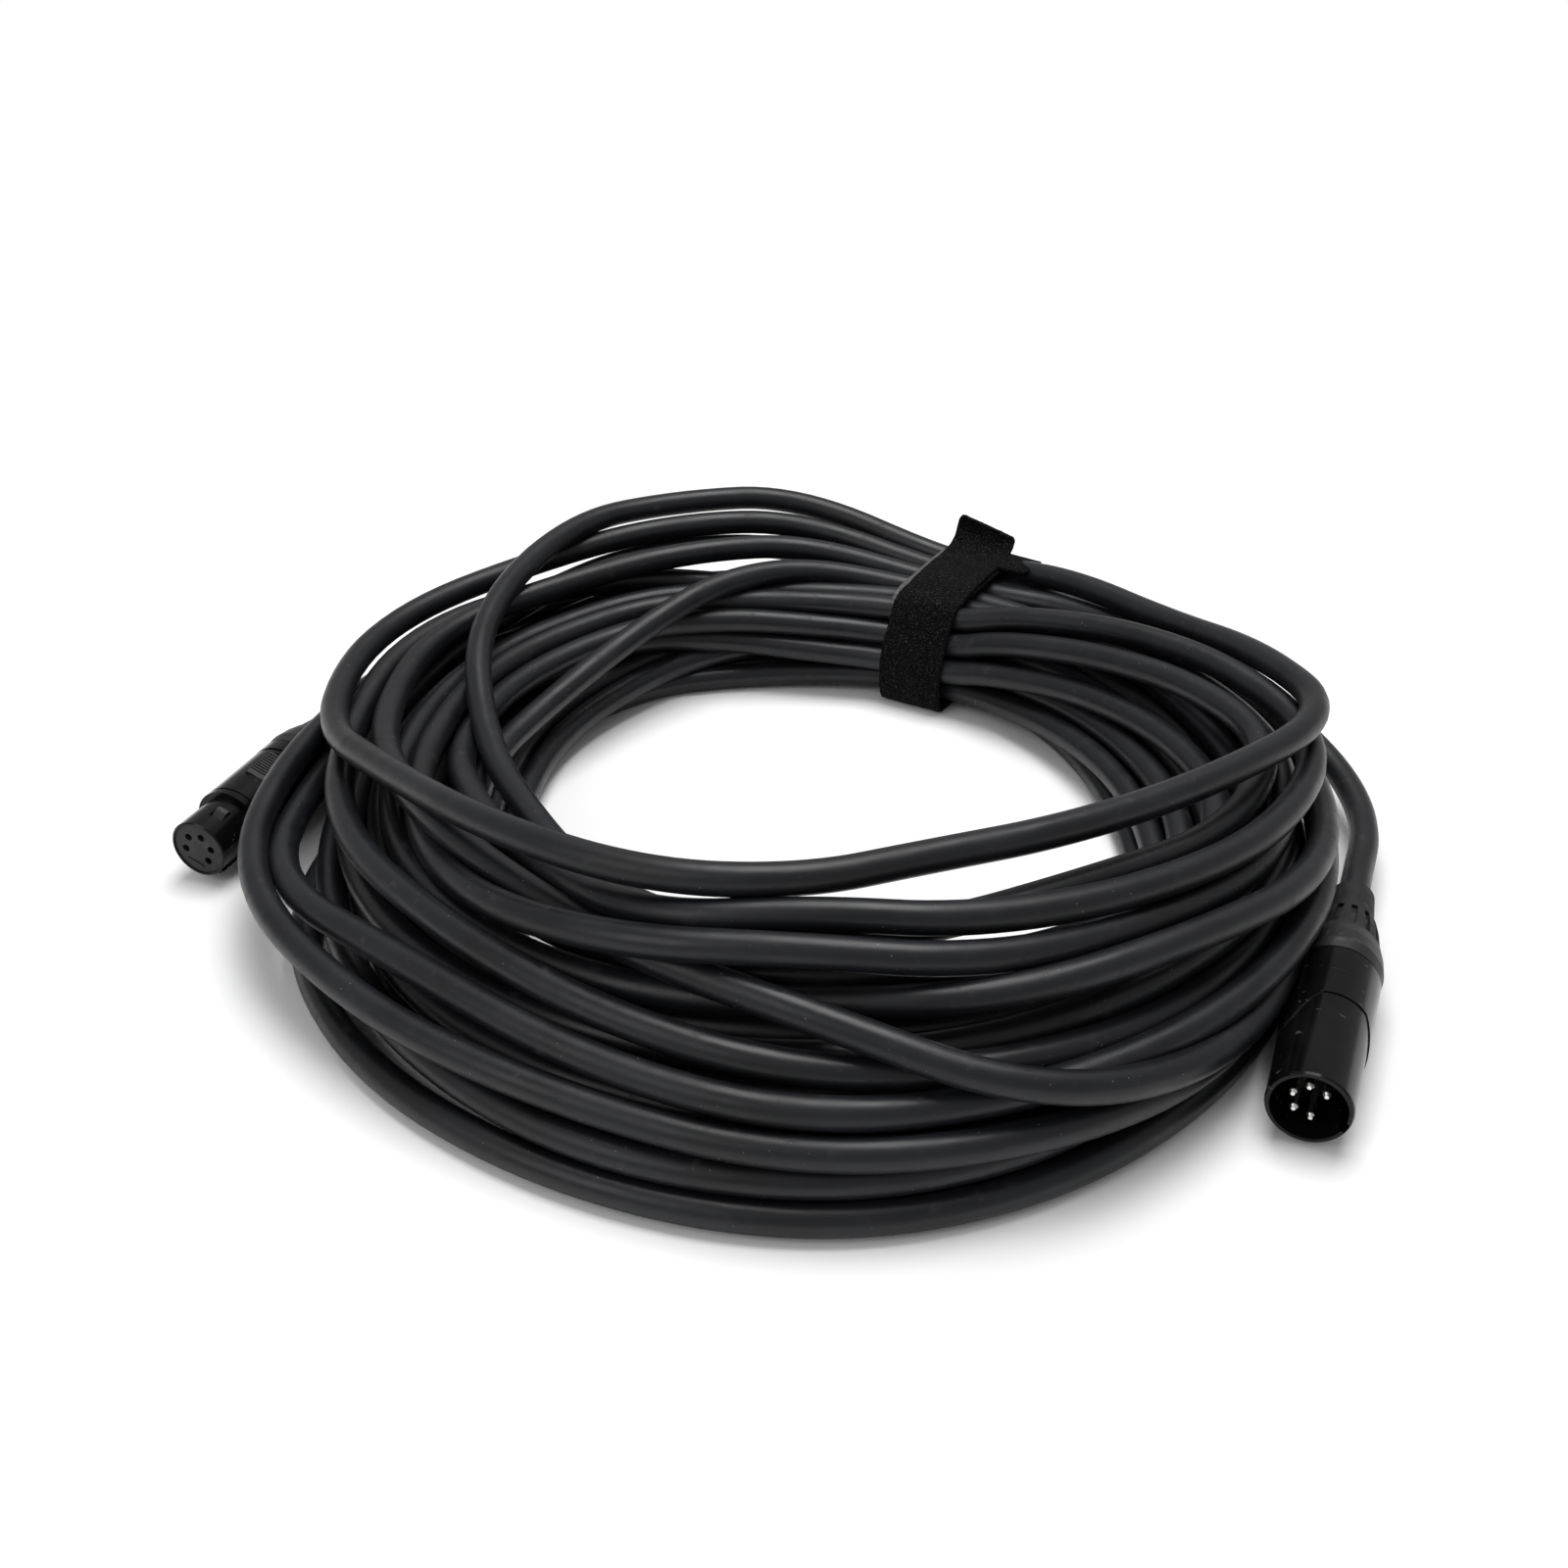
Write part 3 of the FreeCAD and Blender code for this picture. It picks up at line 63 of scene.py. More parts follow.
class Graph:
    """A material's nodes, added one by one, with every size in millimetres."""

    # The mix node has sockets for every kind of data, and these are the ones for colours.
    MIX_SHARE, MIX_ONE, MIX_TWO, MIX_RESULT = 0, 6, 7, 2

    def __init__(self, name: str) -> None:
        """Starts the material with its shader and its Object coordinates."""
        self.material = bpy.data.materials.new(name)
        self.material.use_nodes = True
        self.nodes = self.material.node_tree.nodes
        self.links = self.material.node_tree.links
        self.shader = self.nodes["Principled BSDF"]
        self.place = self.nodes.new("ShaderNodeTexCoord").outputs["Object"]

    def stretched(self, stretch: tuple[float, float, float], turn: float) -> Socket:
        """Coordinates turned on the plan by degrees and scaled along each axis."""
        turned = self.nodes.new("ShaderNodeMapping")
        turned.inputs["Rotation"].default_value = (0, 0, math.radians(-turn))
        scaled = self.nodes.new("ShaderNodeMapping")
        scaled.inputs["Scale"].default_value = stretch
        self.links.new(self.place, turned.inputs["Vector"])
        self.links.new(turned.outputs["Vector"], scaled.inputs["Vector"])
        return scaled.outputs["Vector"]

    def noise(self, size: float, detail: float = 3.0, place: Socket | None = None) -> Socket:
        """Cloudy noise whose patches are about that size."""
        node = self.nodes.new("ShaderNodeTexNoise")
        node.inputs["Scale"].default_value = 1 / (size * MM)
        node.inputs["Detail"].default_value = detail
        self.links.new(place or self.place, node.inputs["Vector"])
        return node.outputs[0]

    def cells(self, size: float, place: Socket | None = None) -> Socket:
        """Distance from the middle of the nearest of many cells of that size."""
        node = self.nodes.new("ShaderNodeTexVoronoi")
        node.inputs["Scale"].default_value = 1 / (size * MM)
        self.links.new(place or self.place, node.inputs["Vector"])
        return node.outputs["Distance"]

    def between(self, value: Socket, low: float, high: float, first: float = 0,
                last: float = 1) -> Socket:
        """The value's range from low to high, carried to first to last and held at both ends."""
        node = self.nodes.new("ShaderNodeMapRange")
        ends = {"From Min": low, "From Max": high, "To Min": first, "To Max": last}
        for name, number in ends.items():
            node.inputs[name].default_value = number
        self.links.new(value, node.inputs["Value"])
        return node.outputs["Result"]

    def joined(self, operation: str, one: Socket, two: Socket) -> Socket:
        """Two values put through one operation."""
        node = self.nodes.new("ShaderNodeMath")
        node.operation = operation
        self.links.new(one, node.inputs[0])
        self.links.new(two, node.inputs[1])
        return node.outputs[0]

    def mixed(self, share: Socket, one: Colour | Socket, two: Colour) -> Socket:
        """Colour one, changing to colour two as the share grows to 1."""
        node = self.nodes.new("ShaderNodeMix")
        node.data_type = "RGBA"
        self.links.new(share, node.inputs[self.MIX_SHARE])
        if isinstance(one, tuple):
            node.inputs[self.MIX_ONE].default_value = (*one, 1)
        else:
            self.links.new(one, node.inputs[self.MIX_ONE])
        node.inputs[self.MIX_TWO].default_value = (*two, 1)
        return node.outputs[self.MIX_RESULT]

    def relief(self, height: Socket, depth: float, under: Socket | None = None) -> Socket:
        """Bumps of that depth, laid over other bumps where these are given."""
        node = self.nodes.new("ShaderNodeBump")
        node.inputs["Distance"].default_value = depth * MM
        self.links.new(height, node.inputs["Height"])
        if under is not None:
            self.links.new(under, node.inputs["Normal"])
        return node.outputs["Normal"]

    def feed(self, **inputs: Socket) -> None:
        """Links sockets to the shader's inputs of those names."""
        names = {"colour": "Base Color", "roughness": "Roughness", "normal": "Normal"}
        for key, socket in inputs.items():
            self.links.new(socket, self.shader.inputs[names[key]])


@dataclass(frozen=True)
class Finish:
    """What every finish has: its slot in the record, its two shades and its gloss.

    Attributes:
        slot: The record's material slot.
        dark: Colour of the deeper patches.
        light: Colour of the paler patches.
        patch: Size of the patches, in millimetres.
        smooth: Roughness where it is glossiest.
        rough: Roughness where it is dullest.
        specular: Specular level.
    """

    slot: str
    dark: Colour
    light: Colour
    patch: float
    smooth: float
    rough: float
    specular: float = 0.5

    def material(self) -> bpy.types.Material:
        """Makes the material, with the finish's own details over the patches."""
        graph = Graph(self.slot)
        graph.shader.inputs["Specular IOR Level"].default_value = self.specular
        patches = graph.between(graph.noise(self.patch), low=0.35, high=0.65)
        colour = graph.mixed(patches, self.dark, self.light)
        roughness = graph.between(graph.noise(0.6 * self.patch), low=0.3, high=0.7,
                                  first=self.smooth, last=self.rough)
        self.details(graph, colour, roughness)
        return graph.material

    def details(self, graph: Graph, colour: Socket, roughness: Socket) -> None:
        """Finishes the material with no more than its patches."""
        graph.feed(colour=colour, roughness=roughness)


@dataclass(frozen=True)
class Jacket(Finish):
    """Soft black jacket: drawn skin, faint unevenness, dust specks and dull scuffs.

    Attributes:
        speck: Distance between specks of dust, in millimetres.
        dust: Colour of the dust.
        scuff: Colour of the scuffs.
    """

    speck: float = 2.4
    dust: Colour = (0.13, 0.13, 0.135)
    scuff: Colour = (0.028, 0.028, 0.03)

    def details(self, graph: Graph, colour: Socket, roughness: Socket) -> None:
        """Adds the skin, the scuffs and the dust."""
        specks = graph.between(graph.cells(self.speck), low=0.075, high=0.05)
        handled = graph.between(graph.noise(size=9, detail=1), low=0.5, high=0.57)
        scuffs = graph.between(graph.noise(size=3.2, detail=6), low=0.6, high=0.72, last=0.55)
        colour = graph.mixed(graph.joined("MULTIPLY", scuffs, handled), colour, self.scuff)
        colour = graph.mixed(graph.joined("MULTIPLY", specks, handled), colour, self.dust)
        dull = graph.joined("ADD", roughness, graph.between(scuffs, low=0, high=1, last=0.25))
        skin = graph.relief(graph.noise(size=0.45, detail=2), depth=0.012)
        waves = graph.relief(graph.noise(size=7, detail=1), depth=0.16, under=skin)
        graph.feed(colour=colour, roughness=dull, normal=waves)


@dataclass(frozen=True)
class Lacquer(Finish):
    """Gloss black lacquer over a casting: orange peel and hairline scratches.

    Attributes:
        coat: Strength of the clear coat.
        scratch: Colour of the scratches.
    """

    coat: float = 0.06
    scratch: Colour = (0.05, 0.05, 0.052)

    def details(self, graph: Graph, colour: Socket, roughness: Socket) -> None:
        """Adds the peel and the scratches."""
        graph.shader.inputs["Coat Weight"].default_value = self.coat
        graph.shader.inputs["Coat Roughness"].default_value = 0.08
        lengthwise = graph.stretched((1, 0.06, 1), PLUG_HEADING)
        scratched = graph.noise(size=1.6, detail=4, place=lengthwise)
        hairlines = graph.between(scratched, low=0.66, high=0.7)
        colour = graph.mixed(hairlines, colour, self.scratch)
        dull = graph.joined("ADD", roughness, graph.between(hairlines, low=0, high=1, last=0.18))
        peel = graph.relief(graph.noise(size=0.9, detail=2), depth=0.01)
        graph.feed(colour=colour, roughness=dull, normal=peel)


@dataclass(frozen=True)
class Moulding(Finish):
    """Moulded plastic or rubber: spark-eroded grain and paler wear.

    Attributes:
        grain: Size of the grain, in millimetres.
        depth: Depth of the grain, in millimetres.
        wear: Colour of rubbed places.
    """

    grain: float = 0.35
    depth: float = 0.03
    wear: Colour = (0.05, 0.05, 0.052)

    def details(self, graph: Graph, colour: Socket, roughness: Socket) -> None:
        """Adds the grain and the rubbed places."""
        rubbed = graph.between(graph.noise(size=2.2, detail=5), low=0.6, high=0.74, last=0.7)
        colour = graph.mixed(rubbed, colour, self.wear)
        grain = graph.relief(graph.noise(self.grain, detail=2), self.depth)
        graph.feed(colour=colour, roughness=roughness, normal=grain)


@dataclass(frozen=True)
class BareMetal(Finish):
    """Plated or rolled metal: fine drawing lines and faint tarnish.

    Attributes:
        tarnish: Colour of the tarnish.
        line: Distance between drawing lines, in millimetres.
    """

    tarnish: Colour = (0.55, 0.5, 0.42)
    line: float = 0.25

    def details(self, graph: Graph, colour: Socket, roughness: Socket) -> None:
        """Adds the lines and the tarnish."""
        graph.shader.inputs["Metallic"].default_value = 1
        stained = graph.between(graph.noise(size=1.4, detail=4), low=0.58, high=0.75, last=0.6)
        colour = graph.mixed(stained, colour, self.tarnish)
        lengthwise = graph.stretched((1, 0.08, 1), PLUG_HEADING)
        lines = graph.relief(graph.noise(self.line, detail=2, place=lengthwise), depth=0.006)
        graph.feed(colour=colour, roughness=roughness, normal=lines)


@dataclass(frozen=True)
class Pile(Finish):
    """Napped loop fabric of the tie: tangled fibres, with painted glints where fibres catch the
    light.

    Attributes:
        fibre: Distance between fibres, in millimetres.
        fibre_glint: Colour of the painted glints, pale specks that stand for fibres catching the
            light.
        sheen: Strength of the sheen.
    """

    fibre: float = 0.55
    fibre_glint: Colour = (0.03, 0.03, 0.033)
    sheen: float = 0.02

    def details(self, graph: Graph, colour: Socket, roughness: Socket) -> None:
        """Adds the tangle of fibres and their painted glints."""
        graph.shader.inputs["Sheen Weight"].default_value = self.sheen
        graph.shader.inputs["Sheen Roughness"].default_value = 0.6
        tangle = graph.noise(self.fibre, detail=5)
        loops = graph.cells(1.5 * self.fibre)
        clumps = graph.noise(4 * self.fibre, detail=3)
        # Painted highlight: where the tangle noise is high, the colour turns pale, as if fibres
        # caught the light.
        colour = graph.mixed(graph.between(tangle, low=0.55, high=0.66), colour, self.fibre_glint)
        nap = graph.relief(tangle, depth=0.5)
        curls = graph.relief(loops, depth=0.35, under=nap)
        tufts = graph.relief(clumps, depth=0.5, under=curls)
        graph.feed(colour=colour, roughness=roughness, normal=tufts)


@dataclass(frozen=True)
class HookFace(Finish):
    """Smooth hooked side of the tie: rows of small hooks on a tight weave.

    Attributes:
        row: Distance between the rows, in millimetres.
        tip: Colour of the hooks' tips.
    """

    row: float = 1.1
    tip: Colour = (0.1, 0.1, 0.105)

    def details(self, graph: Graph, colour: Socket, roughness: Socket) -> None:
        """Adds the rows of hooks."""
        rows = graph.cells(self.row, graph.stretched((1, 1.4, 1), TIE_HEADING))
        tips = graph.between(rows, low=0.25, high=0.45, last=0.5)
        colour = graph.mixed(tips, colour, self.tip)
        weave = graph.relief(graph.noise(size=0.3, detail=1), depth=0.05)
        raised = graph.between(rows, low=0.15, high=0.5, first=1, last=0)
        hooks = graph.relief(raised, depth=0.25, under=weave)
        graph.feed(colour=colour, roughness=roughness, normal=hooks)


class Finishes(Enum):
    """The finishes of the set."""

    CABLE_JACKET = Jacket("cable_jacket", dark=(0.0054, 0.0057, 0.007),
                          light=(0.0098, 0.0104, 0.013),
                          patch=26, smooth=0.33, rough=0.47, specular=0.36)
    BLACK_METAL = Lacquer("black_metal", dark=(0.002, 0.002, 0.0024), light=(0.005, 0.005, 0.0055),
                          patch=14, smooth=0.15, rough=0.24, specular=0.18)
    MATT_PLASTIC = Moulding("matt_plastic", dark=(0.006, 0.006, 0.0065),
                            light=(0.011, 0.011, 0.012),
                            patch=9, smooth=0.42, rough=0.55, specular=0.4)
    DARK_PLASTIC = Moulding("dark_plastic", dark=(0.012, 0.012, 0.013), light=(0.021, 0.021, 0.022),
                            patch=5, smooth=0.42, rough=0.56, specular=0.3,
                            wear=(0.045, 0.045, 0.047))
    BOOT_RUBBER = Moulding("boot_rubber", dark=(0.009, 0.009, 0.0095), light=(0.016, 0.016, 0.017),
                           patch=8, smooth=0.6, rough=0.78, specular=0.35, grain=0.5, depth=0.05)
    SILVERED_CONTACT = BareMetal("silvered_contact", dark=(0.78, 0.77, 0.74),
                                 light=(0.86, 0.85, 0.83), patch=3, smooth=0.16, rough=0.28)
    SPRING_STEEL = BareMetal("spring_steel", dark=(0.5, 0.5, 0.52), light=(0.62, 0.62, 0.64),
                             patch=4, smooth=0.24, rough=0.36, tarnish=(0.3, 0.28, 0.26))
    CONDUCTOR = Moulding("conductor", dark=(0.4, 0.4, 0.41), light=(0.6, 0.6, 0.61),
                         patch=6, smooth=0.3, rough=0.42,
                         grain=0.8, depth=0.02, wear=(0.7, 0.7, 0.7))
    TIE_FABRIC = Pile("tie_fabric", dark=(0.0008, 0.0008, 0.001), light=(0.002, 0.002, 0.0022),
                      patch=5, smooth=0.86, rough=0.98, specular=0.06)
    TIE_HOOKS = HookFace("tie_hooks", dark=(0.035, 0.035, 0.037), light=(0.06, 0.06, 0.063),
                         patch=4, smooth=0.35, rough=0.5)

    @property
    def slot(self) -> str:
        """The record's slot."""
        return self.value.slot


@dataclass(frozen=True)
class Connector:
    """Where a connector lies, in millimetres and degrees.

    Attributes:
        face: Centre of the mating face on the plan.
        rear_heading: Direction in which its cable leaves.
        boot_rear: Depth from the mating face to the rear of the boot.
        shell_reach: Depth to the rear of the bushing.
        axis_height: Height of its axis over the floor.
        cable_inside: How far the cable reaches into the boot.
        shell_clearance: Least distance from the axis to a strand beside the shell.
        boot_clearance: The same beside the boot.
    """

    face: tuple[float, float]
    rear_heading: float
    boot_rear: float
    shell_reach: float
    axis_height: float = 10.5
    cable_inside: float = 14.0
    shell_clearance: float = 14.6
    boot_clearance: float = 11.3

    def at(self, depth: float) -> np.ndarray:
        """The point of the axis at a depth behind the mating face, in millimetres."""
        turn = math.radians(self.rear_heading)
        along = np.array([math.cos(turn), math.sin(turn), 0.0])
        return np.array([*self.face, self.axis_height]) + along * depth


PLUG = Connector(face=(117.6, -123.9), rear_heading=PLUG_HEADING, boot_rear=83.75,
                 shell_reach=58.7)
SOCKET = Connector(face=(-145.8, -24.3), rear_heading=69.5, boot_rear=79.25, shell_reach=54.2)


@dataclass(frozen=True)
class Section:
    """One of the sections round the coil: a middle on the plan and the cable's heading."""

    x: float
    y: float
    heading: float

    @property
    def outward(self) -> np.ndarray:
        """The level direction away from the coil's eye."""
        turn = math.radians(self.heading)
        return np.array([-math.sin(turn), math.cos(turn), 0.0])

    def point(self, out: float, height: float) -> np.ndarray:
        """The point so far outward and so high over the floor."""
        place = np.array([self.x, self.y, 0.0]) + self.outward * out
        place[2] = height
        return place


@dataclass(frozen=True)
class Turn:
    """One turn of the cable, by its places in the sections.

    Attributes:
        tie: Its place in the tie.
        right: Its place at the right of the coil.
        front: Its place in front.
        left: Its place at the left.
        more: Its places in further sections, by their numbers.
    """

    tie: Spot
    right: Spot
    front: Spot
    left: Spot
    more: dict[int, Spot] = field(default_factory=dict)


# The sections are numbered clockwise from the tie, seen from above.
TIE_SECTIONS = (0, 1)
KEY_SECTIONS = (5, 9, 13)

SECTIONS = [
    Section(51.3, 100, -30),
    Section(68.7, 90, -30),
    Section(84, 74, -48),
    Section(99, 45, -64),
    Section(105, 12, -79),
    Section(106, -21, -90),
    Section(100, -59, -108),
    Section(80, -93, -128),
    Section(49, -119, -152),
    Section(11, -127.5, 180),
    Section(-29, -116, 148),
    Section(-62, -84, 122),
    Section(-79, -42, 102),
    Section(-83, 4, 90),
    Section(-74, 50, 66),
    Section(-42, 89, 38),
    Section(-15, 101, 20),
    Section(14, 105, 4),
]

TURNS = [
    # The turns on the floor, outermost first.
    Turn((19.3, 6.5), (35, 4.1), (25, 4.1), (27, 4.1),
         {10: (25, 4.1), 11: (33, 4.1), 12: (38, 4.1)}),
    Turn((11.6, 6.5), (19, 4.1), (17.4, 4.1), (18, 4.1)),
    Turn((3.9, 6.5), (11, 4.1), (9.8, 4.1), (10, 4.1)),
    Turn((-3.9, 6.5), (3, 4.1), (2.2, 4.1), (2, 4.1)),
    Turn((-11.6, 6.5), (-5, 4.1), (-5.4, 4.1), (-6, 4.1)),
    # The second layer.
    Turn((-19.3, 6.5), (-1, 10.7), (-1.6, 10.7), (-14, 4.1)),
    Turn((-7.7, 13.5), (7, 10.7), (6, 10.7), (-9.5, 10.7)),
    Turn((0, 13.5), (15, 10.7), (13.6, 10.7), (-1.5, 10.7)),
    Turn((7.7, 13.5), (23, 10.7), (21.2, 10.7), (30.5, 10.7)),
    # Strands that show in front and at the left, over the second layer.
    Turn((15.4, 13.5), (31, 10.7), (17.4, 16), (43, 20.5),
         {6: (29.7, 10.7), 7: (28, 11.5), 8: (22.8, 17), 10: (14, 16.5), 11: (27, 17),
          12: (46.8, 18.2), 14: (36, 19)}),
    Turn((23.1, 13.5), (37, 18.5), (14, 22.5), (39, 15.5),
         {6: (33, 18), 7: (26, 18.8), 8: (16.5, 20.5), 10: (8, 23), 11: (14.7, 24.5),
          12: (42, 19)}),
    Turn((3.9, 20.5), (29, 17.4), (7, 26.5), (30.5, 24.3),
         {6: (25, 18.5), 7: (18.5, 20), 8: (10, 23), 10: (3, 29.5), 11: (7.9, 31), 12: (22.5, 28),
          14: (34, 28), 15: (21, 25)}),
    # The third and fourth layers.
    Turn((-3.9, 20.5), (22, 17.4), (9.8, 17), (22.5, 10.7)),
    Turn((-11.6, 20.5), (14, 17.4), (2.2, 17), (14.5, 10.7),
         {11: (8.5, 17.8), 12: (13, 14)}),
    Turn((-15.4, 13.5), (6, 17.4), (-5.4, 17), (6.5, 10.7)),
    Turn((-23.1, 13.5), (14.5, 24), (-15, 36.5), (-5.5, 17),
         {7: (-1, 33), 8: (-11, 36), 10: (-14.5, 33), 11: (-11, 27), 14: (-17, 18.5),
          15: (-16.5, 23.5), 16: (-9, 27), 17: (-1, 28.3)}),
    Turn((0, 27.5), (22, 25), (-8, 24), (18, 17.2)),
    Turn((11.6, 20.5), (30.5, 24.5), (0.5, 23.7), (26, 17.2),
         {15: (27.5, 30.5), 16: (28.5, 32.5), 17: (25.5, 30.5)}),
    # The top of the pile, lowest first.
    Turn((19.3, 20.5), (39, 12.5), (-0.5, 35), (21.5, 27),
         {6: (38.5, 10.5), 7: (36.5, 10.5), 8: (26.5, 24), 10: (-8, 36.5), 11: (-6, 34.5),
          12: (8, 31), 14: (26, 31.5), 15: (12, 35), 16: (10, 37), 17: (12, 36)}),
    Turn((7.7, 27.5), (39, 26), (-7.5, 38), (14.5, 24),
         {2: (16, 26.5), 3: (24, 28.5), 6: (33, 32), 7: (16, 40.5), 8: (4.5, 42)}),
    Turn((-7.7, 27.5), (30, 32), (-11, 42), (7, 25.5),
         {6: (23, 33.5), 7: (9, 37), 8: (-1, 40.5)}),
    Turn((-15.4, 27.5), (38.5, 38.5), (-15.5, 49.5), (1, 20),
         {2: (-8, 32), 3: (8, 37), 4: (27, 40), 6: (22.5, 41), 7: (5.5, 45), 10: (-7, 44),
          11: (-12.3, 34.5), 12: (-9.2, 26.5)}),
    Turn((-19.3, 20.5), (27, 38.5), (-18.5, 42), (-8, 22),
         {2: (-16, 27), 3: (-3, 33), 4: (15, 37.5), 6: (12, 38.5), 7: (-11, 40.5), 8: (-19, 41.5),
          10: (-21.9, 38.8), 11: (-27.8, 30), 12: (-24.5, 23), 14: (11, 34.5), 15: (33.5, 39.5),
          16: (40, 38.9), 17: (38, 41)}),
    Turn((23, 28), (40, 47), (-20.5, 54.2), (35, 31.5),
         {1: (20.5, 31.5), 2: (18.5, 32.5), 3: (23, 34), 4: (32.5, 43.5), 6: (5, 51),
          7: (-14, 53.5), 8: (-25.5, 54), 10: (-13.5, 54), 11: (-6, 51.5), 12: (7, 42.5),
          14: (43, 33), 15: (31, 36.5), 16: (29.5, 38.5), 17: (29.5, 37)}),
]
LAST_TIE_PLACE = (15.4, 27.5)

SOCKET_TAIL = [(-84, 113, 6.5), (-49, 135, 4.5), (-10, 145.5, 5), (33, 136.3, 5.8)]
PLUG_TAIL = [(108, 95, 22), (131, 72, 20), (149.5, 44, 16), (162, 17, 12)]


@dataclass
class CableLay:
    """Lays the cable as loose turns that rest on each other, in millimetres.

    Attributes:
        diameter: Outside diameter of the jacket.
        spacing: Least distance between the middles of two strands.
        rounds: How many times touching strands are eased apart.
        hold: Pull of each point back to its place.
        furthest: How far a point may be eased from its place.
        samples: Samples of the spline for each of its points.
        lowest: Least height of the cable's middle over the floor.
        search: How far beyond the spacing neighbours are looked for.
        renewal: Rounds between two searches for neighbours.
        ease: How much of each push a point takes.
        calm: Weight that keeps a lightly pushed point from jumping.
        stiffness: Pull of each point back to the bend that its place gave it.
        crowding: Power of the count of strands touched that divides a sample's push.
        along: Points along the cable within which it isn't compared with itself.
        exits: How far behind each boot the straight run of the cable has its points.
    """

    diameter: float = 7.5
    spacing: float = 7.6
    rounds: int = 160
    hold: float = 0.04
    furthest: float = 9.0
    samples: int = 10
    lowest: float = 4.05
    search: float = 5.0
    renewal: int = 8
    ease: float = 1.3
    calm: float = 0.35
    stiffness: float = 0.12
    crowding: float = 0.7
    along: int = 3
    exits: tuple[float, float] = (9.0, 37.0)

    def places(self) -> np.ndarray:
        """The coil's points before the strands are eased apart."""
        known: dict[int, Spot] = {}
        per_turn = len(SECTIONS)
        for number, turn in enumerate(TURNS):
            start = number * per_turn
            for section in TIE_SECTIONS:
                known[start + section] = turn.tie
            for section, place in zip(KEY_SECTIONS, (turn.right, turn.front, turn.left)):
                known[start + section] = place
            for section, place in turn.more.items():
                known[start + section] = place
        for section in TIE_SECTIONS:
            known[len(TURNS) * per_turn + section] = LAST_TIE_PLACE
        at = np.array(sorted(known), float)
        values = np.array([known[int(key)] for key in at], float)
        steps = np.arange(at[-1] + 1)
        out = self.eased(at, values[:, 0], steps)
        height = self.eased(at, values[:, 1], steps)
        return np.array([SECTIONS[number % per_turn].point(out[number], height[number])
                         for number in range(len(steps))])

    @staticmethod
    def eased(at: np.ndarray, values: np.ndarray, steps: np.ndarray) -> np.ndarray:
        """Values at the steps, on a smooth line through those known at some of them."""
        width = np.diff(at)
        slope = np.diff(values) / width
        tangent = np.zeros(len(values))
        both = slope[:-1] * slope[1:]
        total = slope[:-1] + slope[1:]
        tangent[1:-1] = np.where(both > 0, 2 * both / np.where(total == 0, 1, total), 0)
        near = np.clip(np.searchsorted(at, steps, side="right") - 1, 0, len(width) - 1)
        t = (steps - at[near]) / width[near]
        square, cube = t ** 2, t ** 3
        return ((2 * cube - 3 * square + 1) * values[near]
                + (cube - 2 * square + t) * width[near] * tangent[near]
                + (3 * square - 2 * cube) * values[near + 1]
                + (cube - square) * width[near] * tangent[near + 1])

    def spline(self, count: int) -> np.ndarray:
        """Weights that turn that many control points into samples of their NURBS line."""
        knots = np.concatenate([[0, 0], np.arange(count - 1), [count - 2, count - 2]])
        t = np.linspace(0, count - 2, (count - 2) * self.samples + 1)
        # The last sample has to lie inside the last span.
        t[-1] -= 1e-9
        first = np.clip(np.floor(t).astype(int), 0, count - 3)
        one, two, three, four = (knots[first + step] for step in (1, 2, 3, 4))
        a = (t - one) / (three - one)
        b = (t - two) / (four - two)
        c = (t - two) / (three - two)
        weights = np.zeros((len(t), count))
        rows = np.arange(len(t))
        weights[rows, first] = (1 - a) * (1 - c)
        weights[rows, first + 1] = a * (1 - c) + (1 - b) * c
        weights[rows, first + 2] = b * c
        return weights

    def neighbours(self, line: np.ndarray, reach: float) -> tuple[np.ndarray, np.ndarray]:
        """Pairs of samples nearer than reach that aren't next to each other on the cable."""
        cells = np.floor(line / reach).astype(int)
        cells -= cells.min(0) - 1
        size = cells.max(0) + 2
        code = (cells[:, 0] * size[1] + cells[:, 1]) * size[2] + cells[:, 2]
        order = np.argsort(code, kind="stable")
        ordered = code[order]
        firsts, seconds = [], []
        for x, y, z in itertools.product((-1, 0, 1), repeat=3):
            wanted = code + (x * size[1] + y) * size[2] + z
            low = np.searchsorted(ordered, wanted, "left")
            count = np.searchsorted(ordered, wanted, "right") - low
            first = np.repeat(np.arange(len(line)), count)
            within = np.arange(len(first)) - np.repeat(np.cumsum(count) - count, count)
            second = order[np.repeat(low, count) + within]
            apart = second > first + self.along * self.samples
            firsts.append(first[apart])
            seconds.append(second[apart])
        first, second = np.concatenate(firsts), np.concatenate(seconds)
        near = np.linalg.norm(line[first] - line[second], axis=1) < reach
        return first[near], second[near]

    def settle(self, places: np.ndarray, held: int) -> np.ndarray:
        """Eases touching strands apart, off the floor and off the connectors.

        Args:
            places: The cord's control points.
            held: How many points at each end stay where they are.

        Returns:
            The eased control points.
        """
        weights = self.spline(len(places))
        free = np.ones(len(places))
        free[:held] = free[-held:] = 0
        first_turn, per_turn = held + len(SOCKET_TAIL), len(SECTIONS)
        for section in TIE_SECTIONS:
            free[first_turn + section:first_turn + (len(TURNS) + 1) * per_turn:per_turn] = 0
